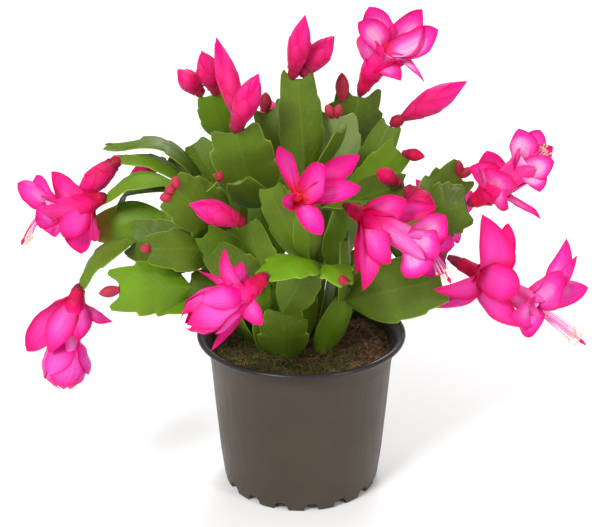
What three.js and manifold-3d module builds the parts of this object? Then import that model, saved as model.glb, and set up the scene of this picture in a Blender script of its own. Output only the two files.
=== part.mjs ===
// A christmas cactus in bloom, in its round nursery pot: flat toothed stem segments in arching
// chains, flowers with petals in two tiers, closed buds, and the peat that the stems stand in.
// Millimetres, +Z up. The origin is on the pot's axis where it rests, and -Y is the front.

import * as THREE from 'three';
import { mergeVertices } from 'three/addons/utils/BufferGeometryUtils.js';
import Module from 'manifold-3d';

const wasm = await Module();
wasm.setup();

// Driving dimensions of the pot and the soil
const POT_HEIGHT = 94;
const RIM_RADIUS = 60;
const RIM_DEPTH = 3.4;
const BODY_TOP_RADIUS = 53.4;
const BODY_FOOT_RADIUS = 46;
const WALL = 1.4;
const FOOT_HEIGHT = 4;
const FOOT_OUTER = 44.5;
const FOOT_INNER = 40;
const FOOT_COUNT = 16;
const FLOOR = 2.4;
const BOSS_RADIUS = 9;
const SOIL_TOP = 84;
const SOIL_SWELL = 1.2;
const AROUND = 26;
const SOIL_AROUND = 18;
const CLEAR = 0.35;

// Driving dimensions of the plant
const PEG_RADIUS = 2.8;
const PEG_DEPTH = 7;
const RIB = 2.6;
const EDGE = 0.9;
const SINK = 1;
const FORK = 4.5;
const HOLLOW = 0.06;
const SEAT = 0.7;
const BUD_SHAPE = [0.09, 0.36, 0.5, 0.05];
const SMALL_BUD_SHAPE = [0.3, 0.5, 0.1];

// Driving dimensions of the flowers
const TUBE = [0.8, 2.8, 3.4, 4.4];
const FIRST_TIER = { at: 0.42, radius: 2.9, sink: 1.2 };
const SECOND_TIER = { at: 0.86, radius: 3.7, sink: 1.2 };
const PETAL = 0.75;
const PETAL_MORE = 2;
const PETAL_CUP = 0.1;
const PETAL_AHEAD = 0.34;
const PETAL_OUT = 0.3;
const STYLE = [0.8, 0.5, 0.5, 0.5, 1];
const STYLE_AHEAD = 8;

const random = (() => {
  let state = 4711;
  return () => {
    state = (state * 16807) % 2147483647;
    return state / 2147483647;
  };
})();
const vary = (spread) => 1 + spread * (2 * random() - 1);
const vec = (p) => new THREE.Vector3(p[0], p[1], p[2]);

// Solids: a closed three.js mesh becomes a solid to join or cut, and comes back as a geometry
function solidOf(geometry) {
  const bare = geometry.index ? geometry.toNonIndexed() : geometry.clone();
  for (const name of Object.keys(bare.attributes)) {
    if (name !== 'position') bare.deleteAttribute(name);
  }
  const welded = mergeVertices(bare, 1e-4);
  return new wasm.Manifold(new wasm.Mesh({
    numProp: 3,
    vertProperties: new Float32Array(welded.attributes.position.array),
    triVerts: new Uint32Array(welded.index.array),
  }));
}

function join(solids) {
  return solids.reduce((whole, next) => whole.add(next));
}

function geometryOf(solid) {
  const mesh = solid.getMesh();
  const geometry = new THREE.BufferGeometry();
  geometry.setAttribute('position', new THREE.BufferAttribute(new Float32Array(mesh.vertProperties), 3));
  geometry.setIndex(new THREE.BufferAttribute(new Uint32Array(mesh.triVerts), 1));
  return geometry;
}

function closedMesh(points, triangles) {
  const geometry = new THREE.BufferGeometry();
  geometry.setAttribute('position', new THREE.Float32BufferAttribute(points.flatMap((p) => p.toArray()), 3));
  geometry.setIndex(triangles.flat());
  return solidOf(geometry);
}

// A way to look, as degrees round from the front (positive to the right) and degrees up
function lookOf([round, up]) {
  const a = THREE.MathUtils.degToRad(round);
  const e = THREE.MathUtils.degToRad(up);
  return new THREE.Vector3(Math.sin(a) * Math.cos(e), -Math.cos(a) * Math.cos(e), Math.sin(e));
}

// One stem segment. Half of its outline from the neck to the middle of the blunt tip, as parts of
// the half width and of the length: the belly, two forward teeth and the horn beside the tip.
const TOOTHED = [
  [0.10, 0.00], [0.72, 0.20], [1.00, 0.50], [0.84, 0.56],
  [1.03, 0.77], [0.84, 0.80], [0.78, 1.07], [0.42, 0.97],
];
const SHORT = [[0.12, 0.00], [0.86, 0.32], [1.03, 0.60], [0.84, 0.66], [0.78, 1.06], [0.46, 0.98]];
const PLAIN = [[0.11, 0.00], [0.90, 0.32], [0.88, 0.78], [0.50, 1.00]];
const MIDLINE = [0.14, 0.55, 1.0];

function blade(base, tip, width, facing, bow, half) {
  const along = tip.clone().sub(base);
  const start = base.clone().addScaledVector(along.clone().normalize(), -SINK);
  const length = tip.distanceTo(start);
  along.normalize();
  const out = lookOf(facing);
  out.addScaledVector(along, -out.dot(along)).normalize();
  const across = along.clone().cross(out);
  const place = (x, y, lift) => start.clone()
    .addScaledVector(along, y * length)
    .addScaledVector(across, x * width / 2)
    .addScaledVector(out, bow * 4 * y * (1 - y) - HOLLOW * width * x * x + lift);
  const middle = MIDLINE.map((y) => [0, y, RIB / 2]);
  const sides = [1, -1].map((side) => half.map(([x, y]) => {
    const isTooth = x > 0.95 || y > 1;
    return [side * x * (isTooth ? vary(0.07) : 1), y, EDGE / 2];
  }));
  const flat = [...middle, ...sides[0], ...sides[1]];
  const count = flat.length;
  const points = [1, -1].flatMap((face) => flat.map(([x, y, thick]) => place(x, y, face * thick)));
  const triangles = [];
  const faces = (a, b, c) => triangles.push([a, b, c], [a + count, c + count, b + count]);
  const wall = (p, q) => triangles.push([p, p + count, q + count], [p, q + count, q]);
  const right = middle.length;
  const left = right + half.length;
  faces(right, 0, left);
  wall(left, right);
  for (const first of [right, left]) {
    const ring = [...middle.keys()].reverse().concat(half.map((_, i) => first + i));
    const contour = ring.map((i) => new THREE.Vector2(flat[i][0] * width / 2, flat[i][1] * length));
    for (const face of THREE.ShapeUtils.triangulateShape(contour, [])) {
      const [a, b, c] = face.map((i) => ring[i]);
      if (isCounter(contour, face)) faces(a, b, c);
      else faces(a, c, b);
    }
    const edge = [...half.map((_, i) => first + i), middle.length - 1];
    for (let i = 0; i + 1 < edge.length; i += 1) {
      if (first === right) wall(edge[i], edge[i + 1]);
      else wall(edge[i + 1], edge[i]);
    }
  }
  return { solid: closedMesh(points, triangles), across };
}

function isCounter(contour, [a, b, c]) {
  const p = contour[b].clone().sub(contour[a]);
  const q = contour[c].clone().sub(contour[a]);
  return p.cross(q) > 0;
}

// A round body along a path, from its radii at even steps, closed at both ends
function spindle(path, radii, sides) {
  const steps = radii.length - 1;
  const frames = path.computeFrenetFrames(steps, false);
  const points = [path.getPointAt(0)];
  for (let i = 0; i <= steps; i += 1) {
    const centre = path.getPointAt(i / steps);
    for (let k = 0; k < sides; k += 1) {
      const turn = 2 * Math.PI * k / sides;
      points.push(centre.clone()
        .addScaledVector(frames.normals[i], radii[i] * Math.cos(turn))
        .addScaledVector(frames.binormals[i], radii[i] * Math.sin(turn)));
    }
  }
  points.push(path.getPointAt(1));
  const last = points.length - 1;
  const triangles = [];
  for (let k = 0; k < sides; k += 1) {
    const next = (k + 1) % sides;
    triangles.push([0, 1 + next, 1 + k]);
    for (let i = 0; i < steps; i += 1) {
      const low = 1 + i * sides;
      const high = low + sides;
      triangles.push([low + k, low + next, high + next], [low + k, high + next, high + k]);
    }
    triangles.push([last - sides + k, last - sides + next, last]);
  }
  return closedMesh(points, triangles);
}

// Leafy stems. Each row is a segment: its name, what it grows from, its tip, its width, the way its
// broad side faces and its bow. The foot is where the stem leaves the soil.
const STEMS = {
  stem_front: {
    foot: [-10, -16],
    segments: [
      ['A1', 'foot', [-10, -24, 115], 29, [0, 10], 1, TOOTHED],
      ['A3', 'A1', [6, -34, 149], 23, [-10, 15], 2, TOOTHED],
      ['A4a', 'A3', [-16, -66, 156], 27, [-20, 62], 4, TOOTHED],
      ['A4b', 'A3', [23, -58, 147], 21, [20, 60], 4, SHORT],
      ['A5', 'A3', [-16, -41, 193], 20, [-10, 15], 2, TOOTHED],
      ['A6', 'A3', [2, -38, 181], 16, [15, 15], 1, PLAIN],
    ],
  },
  stem_front_left: {
    foot: [-19, -7],
    segments: [
      ['K1', 'foot', [-18, -18, 127], 20, [30, 10], 1, PLAIN],
      ['I2', 'K1', [-28, -40, 174], 20, [-20, 15], 3, SHORT],
      ['I3', 'K1', [-46, -44, 159], 24, [-10, 25], 3, SHORT],
      ['K2', 'K1', [-51, -33, 164], 22, [-10, 20], 1, PLAIN],
    ],
  },
  stem_left_low: {
    foot: [-30, 1],
    segments: [
      ['L1a', 'foot', [-42, -16, 119], 22, [-50, 15], 1, PLAIN],
      ['H6', 'L1a', [-61, -32, 134], 28, [-15, 25], 2, SHORT],
      ['H4', 'H6', [-96, -50, 140], 31, [-10, 25], 3, TOOTHED],
      ['H5', 'L1a', [-74, -44, 126], 16, [0, 60], 3, SHORT],
      ['L2a', 'foot', [-32, 2, 121], 20, [-60, 10], 1, PLAIN],
      ['L2b', 'L2a', [-50, -22, 149], 24, [-10, 20], 2, SHORT],
      ['H3', 'L2b', [-79, -48, 162], 24, [-10, 30], 3, SHORT],
      ['H1', 'L2b', [-91, -22, 158], 30, [-10, 20], 2, TOOTHED],
      ['G7', 'H1', [-120, -30, 136], 22, [-10, 82], 5, SHORT],
    ],
  },
  stem_left_high: {
    foot: [-18, 6],
    segments: [
      ['L3a', 'foot', [-25, 10, 120], 20, [-65, 10], 1, PLAIN],
      ['L3b', 'L3a', [-43, -9, 161], 24, [-40, 15], 2, PLAIN],
      ['H2', 'L3b', [-67, -36, 190], 31, [-10, 30], 3, TOOTHED],
      ['L3c', 'L3b', [-71, -6, 182], 22, [-30, 20], 2, PLAIN],
      ['G4', 'L3c', [-105, -12, 180], 20, [-20, 80], 7, SHORT],
      ['G5', 'L3c', [-108, 4, 168], 18, [0, 92], 5, SHORT],
      ['G6a', 'L3b', [-76, -4, 164], 20, [-30, 20], 2, PLAIN],
      ['G6', 'G6a', [-113, -4, 157], 24, [-10, 25], 3, SHORT],
      ['L4b', 'L3a', [-40, 14, 150], 20, [-70, 10], 1, PLAIN],
      ['L4c', 'L4b', [-54, 14, 178], 24, [-5, 15], 1, SHORT],
      ['G1', 'L4c', [-99, 12, 207], 22, [0, 86], 9, TOOTHED],
      ['G2', 'L4c', [-97, 0, 198], 18, [0, 74], 5, SHORT],
      ['F2', 'L4c', [-60, 20, 199], 22, [-10, 10], 1, SHORT],
      ['G3', 'L4c', [-75, 26, 188], 15, [0, 30], 1, SHORT],
    ],
  },
  stem_top_left: {
    foot: [-10, 17],
    segments: [
      ['M1', 'foot', [-15, 20, 127], 22, [40, 10], 1, PLAIN],
      ['M2', 'M1', [-22, 4, 168], 24, [-25, 15], 1, PLAIN],
      ['E3', 'M2', [-35, -16, 216], 37, [-5, 20], 3, TOOTHED],
      ['I4', 'M2', [-33, -34, 194], 22, [-15, 25], 3, SHORT],
      ['M3', 'M1', [-30, 32, 164], 24, [-60, 5], 1, PLAIN],
      ['F0', 'M3', [-42, 33, 197], 22, [-30, 5], 1, SHORT],
      ['F1', 'F0', [-50, 20, 226], 22, [-5, 15], 2, TOOTHED],
    ],
  },
  stem_top: {
    foot: [-1, 9],
    segments: [
      ['T1', 'foot', [0, 2, 135], 22, [-28, 10], 1, PLAIN],
      ['T2', 'T1', [2, 2, 184], 23, [25, 5], 1, SHORT],
      ['E1', 'T2', [-2, 3, 240], 25, [5, 10], 2, TOOTHED],
      ['E2', 'T2', [-18, 19, 218], 26, [0, -10], 1, TOOTHED],
      ['D3', 'T2', [21, -14, 216], 19, [50, 10], 2, SHORT],
    ],
  },
  stem_top_right: {
    foot: [6, 25],
    segments: [
      ['N1', 'foot', [12, 24, 126], 22, [60, 5], 1, PLAIN],
      ['N2', 'N1', [17, 22, 165], 24, [35, 5], 1, PLAIN],
      ['D2', 'N2', [19, 8, 218], 32, [0, 15], -2, TOOTHED],
      ['N3', 'N2', [25, 30, 191], 24, [45, 5], 1, PLAIN],
      ['D1', 'N3', [32, 26, 224], 34, [5, 5], 2, TOOTHED],
    ],
  },
  stem_right_back: {
    foot: [12, 9],
    segments: [
      ['P1', 'foot', [19, 12, 126], 20, [70, 5], 1, PLAIN],
      ['P2', 'P1', [26, 4, 168], 24, [30, 10], 1, SHORT],
      ['D4', 'P2', [48, 6, 213], 22, [-30, 10], 3, SHORT],
      ['C3', 'P2', [52, -11, 204], 22, [10, 35], 2, TOOTHED],
      ['C4', 'P2', [54, -26, 190], 22, [10, 30], 3, SHORT],
      ['C5', 'P2', [27, -36, 183], 25, [0, 66], 2, SHORT],
    ],
  },
  stem_right: {
    foot: [19, 2],
    segments: [
      ['R1', 'foot', [29, -4, 121], 20, [55, 10], 1, PLAIN],
      ['R2', 'R1', [48, -10, 150], 24, [45, 15], 1, PLAIN],
      ['R3', 'R2', [67, -10, 169], 24, [40, 15], 1, SHORT],
      ['C2', 'R3', [87, 0, 186], 27, [10, 15], 2, TOOTHED],
      ['C1', 'R3', [89, -18, 176], 31, [10, 20], 2, TOOTHED],
      ['C7', 'R2', [79, -22, 148], 22, [10, 40], 2, SHORT],
    ],
  },
  stem_front_right: {
    foot: [12, -10],
    segments: [
      ['B1', 'foot', [24, -16, 119], 18, [20, 10], 1, PLAIN],
      ['B2', 'B1', [24, -26, 159], 18, [65, 10], 2, SHORT],
      ['B3', 'B1', [75, -34, 139], 36, [8, 25], 3, TOOTHED],
    ],
  },
  stem_back_left: {
    foot: [-14, 32],
    segments: [
      ['Q1', 'foot', [-28, 46, 122], 22, [-150, 20], 1, PLAIN],
      ['Q2', 'Q1', [-46, 62, 150], 25, [-150, 25], 2, SHORT],
      ['Q3', 'Q2', [-64, 80, 140], 27, [-150, 45], 3, TOOTHED],
      ['Q4', 'Q2', [-38, 86, 174], 26, [-170, 30], 2, TOOTHED],
      ['Q5', 'Q1', [-62, 52, 134], 23, [-140, 40], 2, SHORT],
      ['Q6', 'Q5', [-92, 54, 136], 26, [-130, 50], 4, TOOTHED],
    ],
  },
  stem_back: {
    foot: [2, 38],
    segments: [
      ['S1', 'foot', [2, 58, 124], 22, [180, 15], 1, PLAIN],
      ['S2', 'S1', [-6, 76, 158], 25, [180, 20], 2, SHORT],
      ['S3', 'S2', [-16, 96, 184], 27, [-170, 30], 2, TOOTHED],
      ['S4', 'S2', [12, 104, 170], 26, [170, 45], 3, TOOTHED],
      ['S5', 'S1', [22, 86, 138], 23, [165, 40], 2, SHORT],
      ['S6', 'S5', [30, 114, 134], 26, [170, 60], 4, TOOTHED],
    ],
  },
  stem_back_right: {
    foot: [20, 32],
    segments: [
      ['U1', 'foot', [36, 44, 122], 22, [150, 15], 1, PLAIN],
      ['U2', 'U1', [58, 54, 150], 25, [150, 25], 2, SHORT],
      ['U3', 'U2', [72, 78, 148], 27, [140, 40], 3, TOOTHED],
      ['U4', 'U2', [46, 84, 160], 26, [160, 35], 2, TOOTHED],
      ['U5', 'U1', [54, 68, 130], 23, [150, 40], 2, SHORT],
      ['U6', 'U5', [80, 84, 126], 24, [145, 50], 4, TOOTHED],
    ],
  },
};

// Small buds, still part of the stem that they sit on: stem, base, tip and thickness
const SMALL_BUDS = [
  ['stem_left_low', [-96, -50, 140], [-107, -51, 138], 6],
  ['stem_left_low', [-79, -48, 162], [-84, -50, 164], 5],
  ['stem_left_high', [-65.2, -35.2, 191.4], [-66, -37, 198.5], 5],
  ['stem_left_high', [-67, -36, 190], [-70.5, -39, 193], 5],
  ['stem_left_high', [-68, -36.4, 187.4], [-74, -40, 187.4], 5],
  ['stem_top', [-20, 18, 218], [-19.5, 18, 229], 7],
  ['stem_top_right', [17, 8, 217.4], [13.5, 7, 225], 5],
  ['stem_top_right', [19, 8, 217.4], [21, 7, 225], 5],
  ['stem_top_right', [23, 26, 222], [22.5, 26, 238], 7.6],
  ['stem_right', [87, 0, 186], [86, -1, 196], 5],
  ['stem_right', [87, 0, 186], [94, -2, 192], 5],
  ['stem_front', [23, -58, 147], [20, -61, 152], 5],
];

const FOOT_LIFT = SOIL_TOP + 2;
const tips = {};
const meshes = [];

const GREEN = { front: '#4f7d22', left: '#5b8a24', top: '#56751f', right: '#4d7326', back: '#4a6e22' };

function part(name, solid, color, roughness) {
  const material = new THREE.MeshStandardMaterial({ color, roughness, metalness: 0 });
  const mesh = new THREE.Mesh(geometryOf(solid), material);
  mesh.name = name;
  meshes.push(mesh);
}

function peg(foot, radius, bottom, top) {
  const rod = new THREE.CylinderGeometry(radius, radius, top - bottom, 5);
  rod.rotateX(Math.PI / 2);
  rod.translate(foot[0], foot[1], (top + bottom) / 2);
  return solidOf(rod);
}

// Where one tip carries several segments they stand side by side along it, in the order that they lean
function forkStart(from, segments, [segment, parent, tip]) {
  const carrier = from[parent];
  const lean = (row) => vec(row[2]).sub(carrier.tip).dot(carrier.across);
  const siblings = segments.filter((row) => row[1] === parent).sort((a, b) => lean(a) - lean(b));
  const place = siblings.findIndex((row) => row[0] === segment) - (siblings.length - 1) / 2;
  const step = Math.min(FORK, 0.6 * carrier.width / Math.max(1, siblings.length - 1));
  return carrier.tip.clone().addScaledVector(carrier.across, place * step);
}

for (const [name, stem] of Object.entries(STEMS)) {
  const foot = new THREE.Vector3(stem.foot[0], stem.foot[1], FOOT_LIFT);
  const from = { foot: { tip: foot, across: new THREE.Vector3(0, 0, 0), width: 0 } };
  const solids = [peg(stem.foot, PEG_RADIUS, SOIL_TOP - PEG_DEPTH, FOOT_LIFT + 2)];
  for (const row of stem.segments) {
    const [segment, , tip, width, facing, bow, half] = row;
    const leaf = blade(forkStart(from, stem.segments, row), vec(tip), width, facing, bow, half);
    solids.push(leaf.solid);
    from[segment] = { tip: vec(tip), across: leaf.across, width };
    tips[segment] = vec(tip);
  }
  for (const [carrier, base, tip, thick] of SMALL_BUDS) {
    if (carrier !== name) continue;
    const axis = new THREE.LineCurve3(vec(base), vec(tip));
    solids.push(spindle(axis, SMALL_BUD_SHAPE.map((share) => share * thick), 4));
  }
  part(name, join(solids), GREEN[name.split('_')[1]], 0.42);
}

// Flowers: the base behind the tip that carries it, the throat, the mouth, and the petals. A petal is
// its tier (1 from the throat, 2 from the mouth), its tip and its width.
const BLOOMS = {
  bloom_far_left: {
    on: 'G4', throat: [-119, -16, 175], mouth: [-137, -22, 173], style: [-151, -26, 156],
    petals: [
      [1, [-135, -6, 191], 10], [1, [-119, -24, 150], 11], [1, [-114, -4, 151], 9],
      [1, [-125, -36, 165], 10], [2, [-150, -24, 191], 9],
      [2, [-143, -10, 190], 9], [2, [-140, -36, 175], 8], [2, [-133, -24, 160], 9],
    ],
  },
  bloom_low_left: {
    on: 'G7', beside: [-0.1, -0.1, -0.3], throat: [-124, -34, 120], mouth: [-129, -38, 101],
    petals: [
      [1, [-141, -34, 116], 10], [1, [-151, -36, 100], 12], [1, [-130, -54, 106], 12],
      [1, [-120, -48, 107], 11], [1, [-103, -30, 113], 8],
      [2, [-141, -40, 86], 10], [2, [-132, -50, 85], 11], [2, [-122, -46, 80], 11],
      [2, [-115, -36, 91], 10],
    ],
  },
  bloom_low_front: {
    on: 'A4a', beside: [-0.4, -0.1, -0.2], throat: [-29, -72, 148], mouth: [-45, -76, 139],
    petals: [
      [1, [-39, -76, 173], 8], [1, [-52, -66, 159], 8], [1, [-34, -60, 161], 8],
      [1, [-20, -78, 138], 9], [1, [-50, -74, 115], 10], [2, [-60, -80, 137], 10],
      [2, [-54, -76, 148], 11], [2, [-52, -86, 131], 10],
    ],
  },
  bloom_centre: {
    on: 'A6', beside: [0, -0.3, 0.8], throat: [-2, -50, 191], mouth: [0, -56, 197],
    petals: [
      [1, [-10, -64, 223], 10], [1, [31, -72, 220], 13], [1, [31, -80, 208], 13],
      [1, [8, -74, 179], 11], [1, [-9, -66, 199], 8],
    ],
  },
  bloom_right_middle: {
    on: 'C5', beside: [-5.4, -0.8, 0.2], throat: [41, -52, 177], mouth: [62, -62, 169], style: [76, -72, 153],
    petals: [
      [1, [54, -52, 192], 11], [1, [70, -46, 186], 8], [1, [27, -60, 154], 9],
      [1, [31, -68, 147], 10], [1, [46, -76, 166], 8],
      [2, [73, -60, 186], 12], [2, [79, -54, 167], 10], [2, [74, -66, 155], 10],
      [2, [58, -78, 159], 11], [2, [67, -80, 178], 9],
    ],
  },
  bloom_right_high: {
    on: 'C1', throat: [104, -20, 186], mouth: [121, -22, 201],
    petals: [
      [1, [88, -22, 197], 11], [1, [96, -10, 207], 8], [1, [107, -36, 182], 9],
      [1, [122, -14, 178], 9], [2, [114, -24, 221], 10],
      [2, [127, -8, 213], 9], [2, [134, -20, 209], 10], [2, [130, -38, 206], 9],
      [2, [124, -36, 190], 10], [2, [119, -6, 196], 8],
    ],
  },
  bloom_right_low: {
    on: 'C7', throat: [106, -30, 135], mouth: [127, -36, 124], style: [155, -40, 103],
    petals: [
      [1, [95, -32, 176], 13], [1, [112, -14, 164], 9], [1, [114, -52, 141], 14],
      [1, [70, -40, 137], 9], [1, [70, -18, 116], 7], [1, [115, -46, 115], 9],
      [2, [141, -26, 160], 13], [2, [140, -48, 160], 9], [2, [154, -38, 137], 10],
      [2, [110, -56, 130], 12], [2, [124, -54, 118], 10],
    ],
  },
  bloom_top: {
    on: 'D1', throat: [40, 24, 241], mouth: [47, 22, 252],
    petals: [
      [1, [33, 14, 260], 9], [1, [54, 12, 236], 10], [1, [61, 32, 248], 9],
      [1, [42, 42, 250], 9], [2, [35, 22, 275], 12], [2, [29, 10, 269], 10],
      [2, [66, 18, 275], 14], [2, [75, 12, 264], 10], [2, [66, 4, 237], 6],
    ],
  },
  bloom_back_left: {
    on: 'Q3', beside: [-0.2, 0.1, 0], throat: [-76, 88, 130], mouth: [-87, 95, 118],
    petals: [
      [1, [-76, 90, 147], 11], [1, [-86, 76, 137], 9], [1, [-66, 100, 135], 9],
      [2, [-102, 100, 135], 11], [2, [-104, 86, 122], 9],
      [2, [-100, 90, 104], 9], [2, [-86, 108, 103], 9],
    ],
  },
  bloom_back: {
    on: 'S4', beside: [0, 0.4, -0.2], throat: [14, 118, 162], mouth: [14, 130, 148],
    petals: [
      [1, [16, 128, 182], 11], [1, [-2, 124, 168], 9], [1, [32, 122, 166], 9],
      [2, [14, 148, 164], 11], [2, [32, 140, 148], 9],
      [2, [6, 138, 130], 9], [2, [22, 136, 129], 9],
    ],
  },
  bloom_back_right: {
    on: 'U3', beside: [0.2, 0.1, 0], throat: [83, 87, 140], mouth: [92, 94, 128],
    petals: [
      [1, [84, 90, 158], 11], [1, [72, 104, 150], 9], [1, [92, 76, 148], 9],
      [2, [107, 100, 144], 11], [2, [106, 84, 130], 9],
      [2, [92, 104, 112], 9], [2, [99, 88, 111], 9],
    ],
  },
};

// Outline of a petal: how far along it each row of points lies, its share of the width, and the
// points in the row. Petals from WIDE up have one more row.
const NARROW_ROWS = [[0, 0.24, [-1, 1]], [0.56, 1, [-1, 0, 1]], [1, 0, [0]]];
const WIDE_ROWS = [[0, 0.24, [-1, 1]], [0.42, 1, [-1, 0, 1]], [0.8, 0.8, [-1, 0, 1]], [1, 0, [0]]];
const WIDE = 13;
const LIGHT = new THREE.Vector3(0, -0.93, 0.37);

// A petal leaves the tube forwards and bends out to its tip. Its broad side looks along the tube's
// axis, and it is turned by a part towards the front, as petals twist to the light.
function petal(axis, tier, tip, width, turned) {
  const centre = axis.getPointAt(tier.at);
  const ahead = axis.getTangentAt(tier.at);
  const away = tip.clone().sub(centre);
  away.addScaledVector(ahead, -away.dot(ahead)).normalize();
  const root = centre.clone().addScaledVector(away, tier.radius - tier.sink);
  const span = root.distanceTo(tip);
  const knee = root.clone()
    .addScaledVector(ahead, PETAL_AHEAD * span)
    .addScaledVector(away, PETAL_OUT * span);
  const path = new THREE.QuadraticBezierCurve3(root, knee, tip);
  const flat = tip.clone().sub(root).normalize();
  const across = ahead.clone().cross(away).normalize();
  const level = LIGHT.clone().cross(flat).normalize();
  if (level.dot(across) < 0) level.negate();
  across.lerp(level, turned).normalize();
  const rows = width < WIDE ? NARROW_ROWS : WIDE_ROWS;
  const points = [];
  for (const face of [0.5, -0.5]) {
    for (const [step, wide, sides] of rows) {
      const middle = path.getPoint(step);
      const inward = across.clone().cross(path.getTangent(step)).normalize();
      for (const side of sides) {
        points.push(middle.clone()
          .addScaledVector(across, side * wide * width / 2)
          .addScaledVector(inward, face * PETAL - Math.abs(side) * PETAL_CUP * width * wide));
      }
    }
  }
  const per = points.length / 2;
  const triangles = [];
  const faces = (a, b, c) => triangles.push([a, b, c], [a + per, c + per, b + per]);
  faces(0, 3, 2);
  faces(0, 1, 3);
  faces(1, 4, 3);
  if (per > 6) {
    faces(2, 3, 6);
    faces(2, 6, 5);
    faces(3, 4, 7);
    faces(3, 7, 6);
  }
  faces(per - 4, per - 3, per - 1);
  faces(per - 3, per - 2, per - 1);
  const rim = per > 6 ? [0, 1, 4, 7, 8, 5, 2] : [0, 1, 4, 5, 2];
  rim.forEach((p, i) => {
    const q = rim[(i + 1) % rim.length];
    triangles.push([p, p + per, q + per], [p, q + per, q]);
  });
  return closedMesh(points, triangles);
}

function bloomAxis(bloom) {
  const carrier = tips[bloom.on].clone().add(vec(bloom.beside ?? [0, 0, 0]));
  const throat = vec(bloom.throat);
  const start = carrier.clone().addScaledVector(throat.clone().sub(carrier).normalize(), SEAT);
  return new THREE.CatmullRomCurve3([start, throat, vec(bloom.mouth)]);
}

for (const [name, bloom] of Object.entries(BLOOMS)) {
  const axis = bloomAxis(bloom);
  const solids = [spindle(axis, TUBE, 5)];
  const turned = name.startsWith('bloom_back') ? 0.1 : 0.65;
  for (const [tier, tip, width] of bloom.petals) {
    solids.push(petal(axis, tier === 1 ? FIRST_TIER : SECOND_TIER, vec(tip), width + PETAL_MORE, turned));
  }
  if (bloom.style) {
    const mouth = axis.getPointAt(0.97);
    const ahead = mouth.clone().addScaledVector(axis.getTangentAt(1), STYLE_AHEAD);
    const path = new THREE.QuadraticBezierCurve3(mouth, ahead, vec(bloom.style));
    solids.push(spindle(path, STYLE, 4));
  }
  part(name, join(solids), '#ff1f8e', 0.4);
}

// Closed flower buds: the segment that carries it, the offset of its foot along the blunt tip, its
// point and its thickness
const BUDS = {
  bud_top_left_front: ['E3', [-1, -1, 0], [-22, -23, 250], 12.5],
  bud_top_left_back: ['E3', [4, 1.2, 0.6], [-46, 13, 261], 11],
  bud_far_top_left: ['F1', [-3.8, 2, -0.5], [-68, 22, 241], 11],
  bud_top_left: ['F1', [4, 0, 0.4], [-54, 14, 253], 12],
  bud_crown: ['E1', [-3, 0, -0.7], [2, -2, 276], 11],
  bud_crown_right: ['E1', [1, 1.4, 0.7], [18, 15, 261], 12],
  bud_upper_right: ['D4', [-0.1, 0.1, 0.3], [89, 2, 239], 13],
  bud_front_left: ['I2', [-0.6, -0.9, -0.2], [-58, -50, 188], 12],
  bud_right: ['C4', [0.5, -2.4, 0], [69, -45, 180], 12],
  bud_left: ['G3', [-1, 1, 0], [-98, 22, 178], 9],
  bud_far_left: ['G2', [-0.9, 0, -0.2], [-124, -4, 175], 12],
  bud_small_right: ['C4', [-0.9, -0.8, 0.9], [39, -32, 200], 8],
  bud_small_upper_right: ['C3', [1.1, -2.1, 0.1], [66, -18, 203], 6],
  bud_back_left: ['Q6', [-0.1, 0.7, 0.5], [-112, 60, 126], 11],
  bud_back: ['S3', [0.4, -0.1, -0.1], [-22, 112, 200], 12],
  bud_back_right: ['U4', [0.2, -0.2, 0.1], [44, 104, 170], 12],
  bud_back_low: ['S6', [0.8, 0.3, 0.6], [34, 130, 120], 10],
};

for (const [name, [on, shift, point, thick]] of Object.entries(BUDS)) {
  const foot = tips[on].clone().add(vec(shift));
  const path = new THREE.LineCurve3(foot, vec(point));
  const start = path.getPointAt(SEAT / path.getLength());
  const body = new THREE.LineCurve3(start, vec(point));
  part(name, spindle(body, BUD_SHAPE.map((share) => share * thick), 6), '#e8286f', 0.4);
}

// The pot: a thin wall with a rolled rim, a floor, a ring of feet cut by drain notches, and a boss
// under the middle of the floor that rests with the feet
function pot() {
  const wallIn = BODY_TOP_RADIUS - WALL;
  const outline = [
    [0, 0], [BOSS_RADIUS, 0], [BOSS_RADIUS + 1, FOOT_HEIGHT],
    [FOOT_INNER, FOOT_HEIGHT], [FOOT_INNER, 0], [FOOT_OUTER, 0],
    [BODY_FOOT_RADIUS, FOOT_HEIGHT + 2], [BODY_TOP_RADIUS, POT_HEIGHT - RIM_DEPTH - 2],
    [RIM_RADIUS - 0.6, POT_HEIGHT - RIM_DEPTH], [RIM_RADIUS, POT_HEIGHT - RIM_DEPTH + 1],
    [RIM_RADIUS, POT_HEIGHT - 0.8], [RIM_RADIUS - 1, POT_HEIGHT],
    [RIM_RADIUS - 3, POT_HEIGHT - 0.4], [wallIn, POT_HEIGHT - RIM_DEPTH - 3],
    [BODY_FOOT_RADIUS - WALL, FOOT_HEIGHT + FLOOR], [0, FOOT_HEIGHT + FLOOR],
  ];
  let body = solidOf(new THREE.LatheGeometry(outline.map(([r, z]) => new THREE.Vector2(r, z)), AROUND)
    .rotateX(Math.PI / 2));
  const pitch = 2 * Math.PI / FOOT_COUNT;
  for (let i = 0; i < FOOT_COUNT; i += 1) {
    const notch = new THREE.BoxGeometry(12, 8.6, 2 * (FOOT_HEIGHT - 0.6));
    notch.translate((FOOT_INNER + FOOT_OUTER) / 2, 0, 0);
    notch.rotateZ((i + 0.5) * pitch);
    body = body.subtract(solidOf(notch));
  }
  return body;
}

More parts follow.
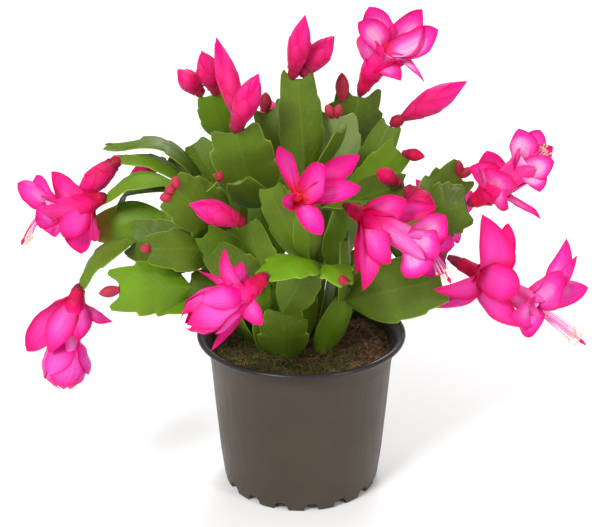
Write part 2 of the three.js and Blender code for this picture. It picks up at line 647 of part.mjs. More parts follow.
// The soil fills the pot to a little under the rim, with a rough top and a plain hole for each stem
function soil() {
  const floor = FOOT_HEIGHT + FLOOR + CLEAR;
  const slope = (BODY_TOP_RADIUS - BODY_FOOT_RADIUS) / (POT_HEIGHT - RIM_DEPTH - FOOT_HEIGHT - 5);
  const inside = (z) => BODY_FOOT_RADIUS - WALL - 2 * CLEAR + slope * (z - floor);
  const outline = [
    [0, floor], [inside(floor), floor], [inside(SOIL_TOP - 2), SOIL_TOP - 2],
    [42, SOIL_TOP], [28, SOIL_TOP], [14, SOIL_TOP], [0, SOIL_TOP],
  ];
  const disc = new THREE.LatheGeometry(outline.map(([r, z]) => new THREE.Vector2(r, z)), SOIL_AROUND)
    .rotateX(Math.PI / 2);
  const at = disc.attributes.position;
  for (let i = 0; i < at.count; i += 1) {
    const [x, y, z] = [at.getX(i), at.getY(i), at.getZ(i)];
    const rough = Math.sin(0.19 * x + 1) * Math.cos(0.23 * y) + 0.5 * Math.sin(0.41 * (x - y));
    if (z > SOIL_TOP - 1) at.setZ(i, z + SOIL_SWELL * rough);
  }
  let body = solidOf(disc);
  for (const stem of Object.values(STEMS)) {
    const bottom = SOIL_TOP - PEG_DEPTH - CLEAR;
    body = body.subtract(peg(stem.foot, PEG_RADIUS + CLEAR, bottom, SOIL_TOP + 6));
  }
  return body;
}

part('pot', pot(), '#35332f', 0.45);
part('soil', soil(), '#3a2a1a', 0.95);

const cactus = new THREE.Group();
cactus.name = 'potted_christmas_cactus';
cactus.add(...meshes);

export default cactus;
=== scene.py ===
# A christmas cactus in full bloom in its nursery pot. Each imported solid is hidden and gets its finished
# piece here: the pot, the peat, thirteen leafy stems, eleven flowers and seventeen closed buds.
# Lengths are millimetres, as the plant was measured. set_down brings each finished piece to metres.

import math
import random

import bmesh
import bpy
from mathutils import Matrix, Vector, noise


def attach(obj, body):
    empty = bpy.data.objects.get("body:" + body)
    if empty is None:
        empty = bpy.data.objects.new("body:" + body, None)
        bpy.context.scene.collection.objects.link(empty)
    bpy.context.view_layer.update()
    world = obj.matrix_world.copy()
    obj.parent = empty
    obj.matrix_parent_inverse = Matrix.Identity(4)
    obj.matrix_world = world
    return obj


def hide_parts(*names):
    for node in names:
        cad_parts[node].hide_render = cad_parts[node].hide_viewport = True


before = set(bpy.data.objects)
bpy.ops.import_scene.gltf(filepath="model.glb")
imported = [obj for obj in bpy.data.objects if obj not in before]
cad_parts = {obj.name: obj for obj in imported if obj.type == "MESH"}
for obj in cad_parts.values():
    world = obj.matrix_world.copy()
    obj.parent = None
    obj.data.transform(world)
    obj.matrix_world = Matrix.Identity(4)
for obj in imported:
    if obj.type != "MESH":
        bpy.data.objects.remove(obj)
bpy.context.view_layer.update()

# The view: from 0.7 m in front of the pot, looking down on the plant as one looks at a pot on a table.
# The table is a plain pale top, wide enough to fill the picture.
LOOK_DOWN = 0.386
TABLE_REACH = 6
camera = bpy.data.cameras.new("front_view")
camera.lens = 80.4
camera.sensor_width = 36
camera.clip_start = 0.01


def put_in_scene(name, data):
    made = bpy.data.objects.new(name, data)
    bpy.context.scene.collection.objects.link(made)
    return made


front_view = put_in_scene("front_view", camera)
front_view.location = (-0.0007, -0.700, 0.419)
front_view.rotation_euler = (math.pi / 2 - LOOK_DOWN, 0, 0)
bpy.context.scene.camera = front_view
bpy.context.scene.view_settings.view_transform = "Standard"


def wire(tree, kind, links=None, **settings):
    """One shader node with its settings, and its sockets set or fed."""
    made = tree.nodes.new(kind)
    for name, value in settings.items():
        setattr(made, name, value)
    for socket, value in (links or {}).items():
        if isinstance(value, bpy.types.NodeSocket):
            tree.links.new(value, made.inputs[socket])
        else:
            made.inputs[socket].default_value = value
    return made


def new_finish(name, **sockets):
    """A material, its tree, its shader with its constant sockets set, and the place on the piece."""
    finish = bpy.data.materials.new(name)
    finish.use_nodes = True
    tree = finish.node_tree
    shader = tree.nodes["Principled BSDF"]
    for socket, value in sockets.items():
        shader.inputs[socket.replace("_", " ")].default_value = value
    return finish, tree, shader, wire(tree, "ShaderNodeTexCoord").outputs["Object"]


def grain(tree, place, scale, detail):
    """Cloudy noise, at so many grains a metre."""
    noisy = wire(tree, "ShaderNodeTexNoise", {"Vector": place, "Scale": scale, "Detail": detail})
    return noisy.outputs["Fac"]


def ramp(tree, factor, *stops):
    """A colour ramp: each stop is its place and its colour."""
    made = wire(tree, "ShaderNodeValToRGB", {"Fac": factor})
    for _ in range(len(stops) - 2):
        made.color_ramp.elements.new(0.5)
    for element, (place, colour) in zip(made.color_ramp.elements, stops):
        element.position = place
        element.color = (*colour, 1)
    return made.outputs["Color"]


def clouded(name, scale, detail, *stops, **sockets):
    """A plain finish that only clouds from one shade to the next."""
    finish, tree, shader, place = new_finish(name, **sockets)
    tree.links.new(ramp(tree, grain(tree, place, scale, detail), *stops), shader.inputs["Base Color"])
    return finish


pale_table = clouded("pale_table", 3.0, 2.0, (0.3, (0.93, 0.93, 0.93)), (0.7, (0.96, 0.96, 0.96)),
                     Roughness=0.7)


def keep_as_mesh(shape, name):
    mesh = bpy.data.meshes.new(name)
    shape.to_mesh(mesh)
    shape.free()
    return mesh


table_shape = bmesh.new()
bmesh.ops.create_grid(table_shape, x_segments=4, y_segments=4, size=TABLE_REACH)
table_top = put_in_scene("table_top", keep_as_mesh(table_shape, "table_top"))
table_top.data.materials.append(pale_table)

# The light: a broad soft box high on the left, a smaller one on the right, a lamp behind that edges the
# petals, one over the far end of the table, and a white room that fills the shadows.


def hang_light(name, place, size, watts, aimed_at=(0, 0, 0.14)):
    lamp = bpy.data.lights.new(name, "AREA")
    lamp.shape = "DISK"
    lamp.size = size
    lamp.energy = watts
    stand = put_in_scene(name, lamp)
    stand.location = place
    aim = Vector(aimed_at) - stand.location
    stand.rotation_euler = aim.to_track_quat("-Z", "Y").to_euler()


hang_light("soft_box_left", (-0.8, -1.1, 1.3), 0.6, 24)
hang_light("soft_box_right", (1.0, -0.9, 0.9), 0.35, 6)
hang_light("lamp_behind", (0.3, 1.1, 1.2), 0.7, 9)
hang_light("far_table_lamp", (0, 1.6, 1.3), 1.0, 12, (0, 1.4, 0))
room = bpy.data.worlds.new("white_room")
room.use_nodes = True
room.node_tree.nodes["Background"].inputs["Color"].default_value = (1, 1, 1, 1)
room.node_tree.nodes["Background"].inputs["Strength"].default_value = 0.48
bpy.context.scene.world = room

# The nursery pot: blow-moulded grey-brown plastic, thin walled, with a rolled lip, a stacking ledge near
# the top and a ring of feet between small drain arches. It is one moulding, spun from its section.
MM = 0.001
POT_HEIGHT = 94
LIP_RADIUS = 60
LIP_ROLL = 1.7
LIP_DEPTH = 6
WALL_TOP = 53.4
WALL_FOOT = 46
WALL = 1.4
LEDGE_HEIGHT = 79
FOOT_RING = (40, 45)
FOOT_ROUND = 1.2
FLOOR_HEIGHT = 5.2
FLOOR_THICKNESS = 2.4
BOSS_RADIUS = 9
FEET = 16
FOOT_ARCH = math.radians(5.2)
FOOT_ARCH_HEIGHT = 4.9
FIRST_ARCH = math.radians(-82.5)
POT_STEPS = 24 * FEET
SHARPEST = math.radians(50)


def set_down(shape, name, finish, slot, *nodes):
    """Brings a finished shape to metres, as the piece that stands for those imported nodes."""
    bmesh.ops.scale(shape, vec=(MM, MM, MM), verts=shape.verts)
    mesh = keep_as_mesh(shape, name)
    mesh.shade_smooth()
    mesh.set_sharp_from_angle(angle=SHARPEST)
    mesh.materials.append(finish)
    piece = put_in_scene(name, mesh)
    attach(piece, "root")
    if nodes:
        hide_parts(*nodes)


def spin_section(section, steps):
    """A closed body of revolution round the pot's axis, from its section as radius and height."""
    shape = bmesh.new()
    corners = [shape.verts.new((radius, 0, height)) for radius, height in section]
    edges = [shape.edges.new(pair) for pair in zip(corners, corners[1:])]
    bmesh.ops.spin(shape, geom=corners + edges, cent=(0, 0, 0), axis=(0, 0, 1),
                   angle=math.tau, steps=steps, use_merge=True)
    bmesh.ops.remove_doubles(shape, verts=shape.verts, dist=1e-3)
    bmesh.ops.recalc_face_normals(shape, faces=shape.faces)
    return shape


def arc(centre, radius, first, last, steps):
    """Points of a section round a part of a circle, from one angle to another in degrees."""
    turns = [math.radians(first + (last - first) * i / steps) for i in range(steps + 1)]
    return [(centre[0] + radius * math.cos(a), centre[1] + radius * math.sin(a)) for a in turns]


def mould_pot():
    """The wall's section, spun round the pot's axis, with the drain arches raised in its foot ring."""
    inner, outer = FOOT_RING
    toe = outer - FOOT_ROUND
    wall_in, floor_in = WALL_TOP - WALL, WALL_FOOT - WALL
    floor_top = FLOOR_HEIGHT + FLOOR_THICKNESS
    taper = (WALL_TOP - WALL_FOOT) / (POT_HEIGHT - LIP_DEPTH)
    ledge = WALL_FOOT + taper * LEDGE_HEIGHT
    boss = [(0, 0), (BOSS_RADIUS - 0.5, 0), (BOSS_RADIUS, 0.5), (BOSS_RADIUS + 0.6, FLOOR_HEIGHT)]
    feet = [(inner - 1, FLOOR_HEIGHT), (inner, 0.6), (inner + 0.8, 0), (toe, 0),
            *arc((toe, FOOT_ROUND), FOOT_ROUND, -70, 0, 4), (outer + 0.3, 3)]
    wall = [(WALL_FOOT - 0.2, 5), (WALL_FOOT, 6.4), *[(WALL_FOOT + taper * up, up) for up in (20, 50)],
            (ledge - 0.3, LEDGE_HEIGHT - 1.2), (ledge, LEDGE_HEIGHT - 0.2), (ledge + 0.1, LEDGE_HEIGHT + 0.6)]
    lip = [(WALL_TOP, POT_HEIGHT - 5.6), (WALL_TOP + 0.6, POT_HEIGHT - 4.4),
           (LIP_RADIUS - 2.4, POT_HEIGHT - 3.6),
           *arc((LIP_RADIUS - LIP_ROLL, POT_HEIGHT - LIP_ROLL), LIP_ROLL, -80, 100, 12),
           (LIP_RADIUS - 3.4, POT_HEIGHT - 0.8), (wall_in + 1.2, POT_HEIGHT - 4.2)]
    inside = [(wall_in, POT_HEIGHT - 6.6), (wall_in - taper * 40, POT_HEIGHT - 46),
              (floor_in, floor_top + 1), (floor_in - 2, floor_top), (0, floor_top)]
    shape = spin_section(boss + feet + wall + lip + inside, POT_STEPS)
    pitch = math.tau / FEET
    for corner in shape.verts:
        reach = math.hypot(corner.co.x, corner.co.y)
        if reach < inner - 0.5 or corner.co.z > FOOT_ARCH_HEIGHT + 0.1:
            continue
        turn = ((math.atan2(corner.co.y, corner.co.x) - FIRST_ARCH) / pitch + 0.5) % 1 - 0.5
        open_share = 1 - abs(turn * pitch / FOOT_ARCH) ** 3
        if open_share > 0:
            corner.co.z = max(corner.co.z, FOOT_ARCH_HEIGHT * math.sqrt(open_share))
    return shape


def grey_ramp(tree, factor, *stops):
    """A ramp of greys: each stop is its place and how light it is."""
    return ramp(tree, factor, *[(place, (level, level, level)) for place, level in stops])


def blend_colours(tree, share, first, second):
    """The first colour with a share of the second laid over it. The node holds sockets of the same name
    for each kind of value, so those for a share and for colours are picked by number."""
    made = wire(tree, "ShaderNodeMix", data_type="RGBA")
    for socket, value in ((0, share), (6, first), (7, second)):
        if isinstance(value, bpy.types.NodeSocket):
            tree.links.new(value, made.inputs[socket])
        elif socket == 0:
            made.inputs[socket].default_value = value
        else:
            made.inputs[socket].default_value = (*value, 1)
    return made.outputs[2]


def roughen(tree, shader, height, strength, distance):
    bump = wire(tree, "ShaderNodeBump", {"Height": height, "Strength": strength, "Distance": distance})
    tree.links.new(bump.outputs["Normal"], shader.inputs["Normal"])


def pot_plastic():
    """Satin and clouded, with a darker lip, faint upright streaks and specks of dust."""
    finish, tree, shader, place = new_finish("grey_brown_plastic", Specular_IOR_Level=0.26)
    height = wire(tree, "ShaderNodeSeparateXYZ", {"Vector": place}).outputs["Z"]
    cloud = grain(tree, place, 18.0, 3.0)
    body = ramp(tree, cloud, (0.3, (0.050, 0.038, 0.024)), (0.7, (0.067, 0.051, 0.034)))
    in_lip = wire(tree, "ShaderNodeMapRange", {
        "Value": height, "From Min": (POT_HEIGHT - 5.2) * MM, "From Max": (POT_HEIGHT - 3.5) * MM,
    }).outputs["Result"]
    lip = blend_colours(tree, in_lip, body, (0.030, 0.023, 0.025))
    drag = wire(tree, "ShaderNodeMapping", {"Vector": place, "Scale": (1.0, 1.0, 0.06)})
    streak = grain(tree, drag.outputs["Vector"], 420.0, 4.0)
    speck = grey_ramp(tree, grain(tree, place, 1500.0, 2.0), (0.68, 0.0), (0.76, 0.5))
    dusty = blend_colours(tree, speck, lip, (0.16, 0.14, 0.115))
    tree.links.new(dusty, shader.inputs["Base Color"])
    satin = grey_ramp(tree, streak, (0.3, 0.38), (0.7, 0.52))
    tree.links.new(blend_colours(tree, in_lip, satin, (0.27, 0.27, 0.27)), shader.inputs["Roughness"])
    roughen(tree, shader, streak, 0.12, 0.0002)
    return finish


set_down(mould_pot(), "nursery_pot", pot_plastic(), "pot_plastic", "pot")

# The peat: a dark damp block that fills the pot to a little under the lip, crumbly on top, with moss
# grown over its front and left, and tan coir fibres lying on it.
PEAT_TOP = 84
PEAT_SWELL = 1.2
PEAT_EDGE = 51.3
PEAT_FOOT = 43.9
PEAT_FLOOR = 6.8
PEAT_RINGS = 58
PEAT_STEPS = 220


def peat_height(x, y):
    """How high the lumpy top of the peat stands at a place."""
    rough = math.sin(0.19 * x + 1) * math.cos(0.23 * y) + 0.5 * math.sin(0.41 * (x - y))
    lumps = noise.noise(Vector((x * 0.16, y * 0.16, 3.0))) * 1.3
    crumbs = noise.noise(Vector((x * 0.5, y * 0.5, 7.0))) * 0.9
    fine = noise.noise(Vector((x * 1.4, y * 1.4, 11.0))) * 0.5
    return PEAT_TOP + PEAT_SWELL * rough + lumps + crumbs + fine


def mossy(x, y):
    """How thick the moss lies at a place on the peat, from 0 to 1."""
    drift = noise.noise(Vector((x * 0.06, y * 0.06, 20.0)))
    return min(1, max(0, 0.75 - 0.017 * (x + 0.9 * y + 8) + drift))


def fill_peat():
    rings = [(PEAT_EDGE * (1 - i / PEAT_RINGS), PEAT_TOP) for i in range(PEAT_RINGS + 1)]
    section = [(0, PEAT_FLOOR), (PEAT_FOOT, PEAT_FLOOR), (PEAT_EDGE - 0.4, PEAT_TOP - 5), *rings]
    shape = spin_section(section, PEAT_STEPS)
    moss = shape.verts.layers.float.new("moss")
    for corner in shape.verts:
        if corner.co.z < PEAT_TOP - 1:
            continue
        x, y = corner.co.x, corner.co.y
        corner.co.z = peat_height(x, y)
        corner[moss] = mossy(x, y)
    return shape


def reckon(tree, operation, *figures):
    """One sum, on bare numbers or on what other nodes give."""
    return wire(tree, "ShaderNodeMath", dict(enumerate(figures)), operation=operation).outputs[0]


def peat_finish():
    finish, tree, shader, place = new_finish("damp_peat", Roughness=0.95, Specular_IOR_Level=0.2)
    clod = grain(tree, place, 260.0, 6.0)
    grit = grain(tree, place, 1400.0, 5.0)
    peat = ramp(tree, clod, (0.3, (0.022, 0.012, 0.007)), (0.52, (0.080, 0.044, 0.022)),
                (0.72, (0.18, 0.10, 0.05)))
    green = ramp(tree, grit, (0.35, (0.018, 0.022, 0.006)), (0.65, (0.085, 0.10, 0.024)))
    thick = wire(tree, "ShaderNodeAttribute", attribute_name="moss").outputs["Fac"]
    cover = reckon(tree, "MULTIPLY", thick, clod)
    mixed = blend_colours(tree, grey_ramp(tree, cover, (0.2, 0.0), (0.45, 0.85)), peat, green)
    tree.links.new(mixed, shader.inputs["Base Color"])
    roughen(tree, shader, grit, 0.7, 0.0008)
    return finish


damp_peat = peat_finish()
set_down(fill_peat(), "peat", damp_peat, "peat", "soil")

# Loose crumbs: small angular clods of the same damp peat. They lie half sunk in its top, dropped evenly
# over it.
CRUMBS = 900
CRUMB_SIZE = (0.35, 1.25)
CRUMB_WIDTH = (0.5, 0.9)
CRUMB_HEIGHT = (0.4, 0.7)
CHIP = 0.22
SCATTER_EDGE = 49.5
crumb_draw = random.Random(12)


def drop_on_peat(draw, edge=SCATTER_EDGE):
    reach = edge * math.sqrt(draw.random())
    turn = draw.uniform(0, math.tau)
    x, y = reach * math.cos(turn), reach * math.sin(turn)
    return Vector((x, y, peat_height(x, y)))


def add_copy(shape, mesh):
    """Adds a copy of a template mesh to a shape and gives its new vertices."""
    before = len(shape.verts)
    shape.from_mesh(mesh)
    shape.verts.ensure_lookup_table()
    return shape.verts[before:]


def scatter_crumbs():
    shape = bmesh.new()
    moss = shape.verts.layers.float.new("moss")
    ball = bmesh.new()
    bmesh.ops.create_icosphere(ball, subdivisions=1, radius=1)
    clod = keep_as_mesh(ball, "clod")
    for _ in range(CRUMBS):
        spot = drop_on_peat(crumb_draw)
        size = crumb_draw.uniform(*CRUMB_SIZE)
        lean = Vector((crumb_draw.random(), 0.4, 1)).normalized()
        turned = Matrix.Rotation(crumb_draw.uniform(0, math.tau), 3, lean)
        flat = Matrix.Diagonal((1, crumb_draw.uniform(*CRUMB_WIDTH), crumb_draw.uniform(*CRUMB_HEIGHT)))
        for corner in add_copy(shape, clod):
            chip = Vector([crumb_draw.uniform(-CHIP, CHIP) for _ in range(3)])
            corner.co = spot + turned @ (flat * size) @ (corner.co + chip)
            corner[moss] = 0.45 * mossy(spot.x, spot.y)
    bpy.data.meshes.remove(clod)
    return shape


set_down(scatter_crumbs(), "peat_crumbs", damp_peat, "peat")

# Moss: living tufts of short pointed olive leaves, rooted in the peat, thick along the front and the
# left of the pot and thin elsewhere.
MOSS_TUFTS = 860
TUFT_LEAVES = 6
MOSS_LEAF = (0.26, 0.03)
MOSS_LENGTH = (1.0, 2.4)
MOSS_LEAN = (0.1, 1.2)
MOSS_SINK = 0.2
moss_draw = random.Random(31)


def upright_cone(shape, sides, foot, top):
    """A cone or rod from 0 to 1 along Z."""
    bmesh.ops.create_cone(shape, segments=sides, radius1=foot, radius2=top, depth=1, cap_ends=True,
                          matrix=Matrix.Translation((0, 0, 0.5)))


def grow_moss():
    shape = bmesh.new()
    leaf_shape = bmesh.new()
    upright_cone(leaf_shape, 3, *MOSS_LEAF)
    leaf = keep_as_mesh(leaf_shape, "moss_leaf")
    planted = 0
    while planted < MOSS_TUFTS:
        spot = drop_on_peat(moss_draw)
        if moss_draw.random() > mossy(spot.x, spot.y):
            continue
        planted += 1
        for _ in range(TUFT_LEAVES):
            long = Matrix.Diagonal((1, 1, moss_draw.uniform(*MOSS_LENGTH)))
            turned = Matrix.Rotation(moss_draw.uniform(0, math.tau), 3, "Z")
            lean = turned @ Matrix.Rotation(moss_draw.uniform(*MOSS_LEAN), 3, "Y") @ long
            for corner in add_copy(shape, leaf):
                corner.co = spot + lean @ corner.co - Vector((0, 0, MOSS_SINK))
    bpy.data.meshes.remove(leaf)
    return shape


olive_moss = clouded("olive_moss", 240.0, 4.0, (0.36, (0.035, 0.033, 0.008)), (0.5, (0.095, 0.098, 0.02)),
                     (0.64, (0.22, 0.19, 0.055)), Roughness=0.8, Specular_IOR_Level=0.25)
set_down(grow_moss(), "moss", olive_moss, "peat")

# Coir fibres: thin tan hairs of coconut husk from the growing mix. They are curled, and lie loose on the
# peat with their ends down.
FIBRES = 150
FIBRE_RADIUS = 0.12
FIBRE_LENGTH = (2.5, 8)
FIBRE_BEND = 5
FIBRE_RISE = (0.8, 3.4)
FIBRE_LIFT = 0.25
FIBRE_EDGE = 47
fibre_draw = random.Random(77)


def rod_mesh(name, sides, rings):
    """A straight rod from 0 to 1 along Z, of radius 1, to be bent along a path."""
    shape = bmesh.new()
    upright_cone(shape, sides, 1, 1)
    upright = [edge for edge in shape.edges if abs(edge.verts[0].co.z - edge.verts[1].co.z) > 0.5]
    bmesh.ops.subdivide_edges(shape, edges=upright, cuts=rings - 1, use_grid_fill=False)
    return keep_as_mesh(shape, name)


def curve_point(stations, share):
    """A point and the way ahead on a Bezier curve through its control points."""
    points = list(stations)
    while len(points) > 2:
        points = [a.lerp(b, share) for a, b in zip(points, points[1:])]
    return points[0].lerp(points[1], share), (points[1] - points[0]).normalized()


def square_to(ahead, way):
    """The part of a way that stands square to the way ahead."""
    return (way - ahead * way.dot(ahead)).normalized()


def bend_rod(shape, mesh, stations, radius):
    """A rod along a curve. radius gives its thickness at a share of the length."""
    side = curve_point(stations, 0.0)[1].orthogonal().normalized()
    corners = add_copy(shape, mesh)
    for corner in corners:
        share = min(1, max(0, corner.co.z))
        centre, ahead = curve_point(stations, share)
        first = square_to(ahead, side)
        second = ahead.cross(first)
        thick = radius(share)
        corner.co = centre + first * (corner.co.x * thick) + second * (corner.co.y * thick)
    return corners


thin_rod = rod_mesh("thin_rod", 4, 8)


def lay_fibres():
    shape = bmesh.new()
    for _ in range(FIBRES):
        spot = drop_on_peat(fibre_draw, FIBRE_EDGE)
        way = Vector((fibre_draw.uniform(-1, 1), fibre_draw.uniform(-1, 1), 0)).normalized()
        bend = Vector((-way.y, way.x, 0)) * fibre_draw.uniform(-FIBRE_BEND, FIBRE_BEND)
        half = way * fibre_draw.uniform(*FIBRE_LENGTH) / 2
        middle = spot + bend + Vector((0, 0, fibre_draw.uniform(*FIBRE_RISE)))
        ends = [spot - half, spot + half]
        for end in ends:
            if math.hypot(end.x, end.y) > FIBRE_EDGE + 2:
                end *= 0.9
            end.z = peat_height(end.x, end.y) + FIBRE_LIFT
        bend_rod(shape, thin_rod, [ends[0], middle, ends[1]], lambda share: FIBRE_RADIUS)
    return shape


tan_coir = clouded("tan_coir", 90.0, 2.0, (0.35, (0.16, 0.075, 0.03)), (0.65, (0.42, 0.25, 0.11)),
                   Roughness=0.75)
set_down(lay_fibres(), "coir_fibres", tan_coir, "peat")

# The leafy stems: chains of flat fleshy segments, each grown from the blunt tip of the one before. A
# segment is waxy green, thick along its rib and thin at its pale margin, with a few soft forward teeth
# on each side and two horns beside the tip. Each stem is one living piece, from its foot in the peat.
FOOT_LIFT = PEAT_TOP + 2
PEG_RADIUS = 2.8
PEG_DEPTH = 7
RIB = 2.6
RIB_REACH = 0.16
EDGE = 0.9
SINK = 1
FOOT_SINK = 4.5
NECK_WIDTH = 0.11
NECK_LENGTH = 0.12
FOOT_WIDTH = 0.36
BROAD_NECKS = {"A5": 0.5}
FORK = 4.5
HOLLOW = 0.06
WAVE = 0.055
TOOTH_NOTCH = 0.14
TOOTH_LEAN = 0.022
TOOTH_SHIFT = 0.05
STALK_RADIUS = 0.45
# The ranges that each segment's own teeth, corners, horns and freshness are drawn from.
TOOTH_SPREAD = (0.6, 1.3)
CORNER_CUT = (0.02, 0.07)
HORN = (0.02, 0.055)
FRESHNESS = (0.1, 0.55)
# Three kinds of margin, by where their teeth stand along the segment, and those that are cut deeper.
TOOTHED = (0.50, 0.77, 1.0)
SHORT = (0.62, 1.0)
PLAIN = (0.55, 1.0)
TOOTH_DEPTH = {TOOTHED: 0.10, SHORT: 0.10, PLAIN: 0.04}
TIP_WIDTH = {TOOTHED: 0.70, SHORT: 0.60, PLAIN: 0.58}
JAGGED = {"A4a": 2.4, "A4b": 2.2, "H4": 1.4, "C1": 1.4, "C2": 1.5, "D1": 1.4, "A1": 1.3, "E3": 1.3}
# A segment that faces up by more than the first angle arches over, with a narrower tip. Past the second
# its tip is a hook, with deeper teeth and its corners bent down. Two of those droop further.
ARCHED = 55
ARCHED_TIP_WIDTH = 0.62
HANGING = 70
HOOK = 0.06
HOOK_DROP = 3.5
HOOK_TEETH = 2.4
HOOK_TIP_WIDTH = 0.55
DROOP = {"G1": 8.0, "G5": 7.0}

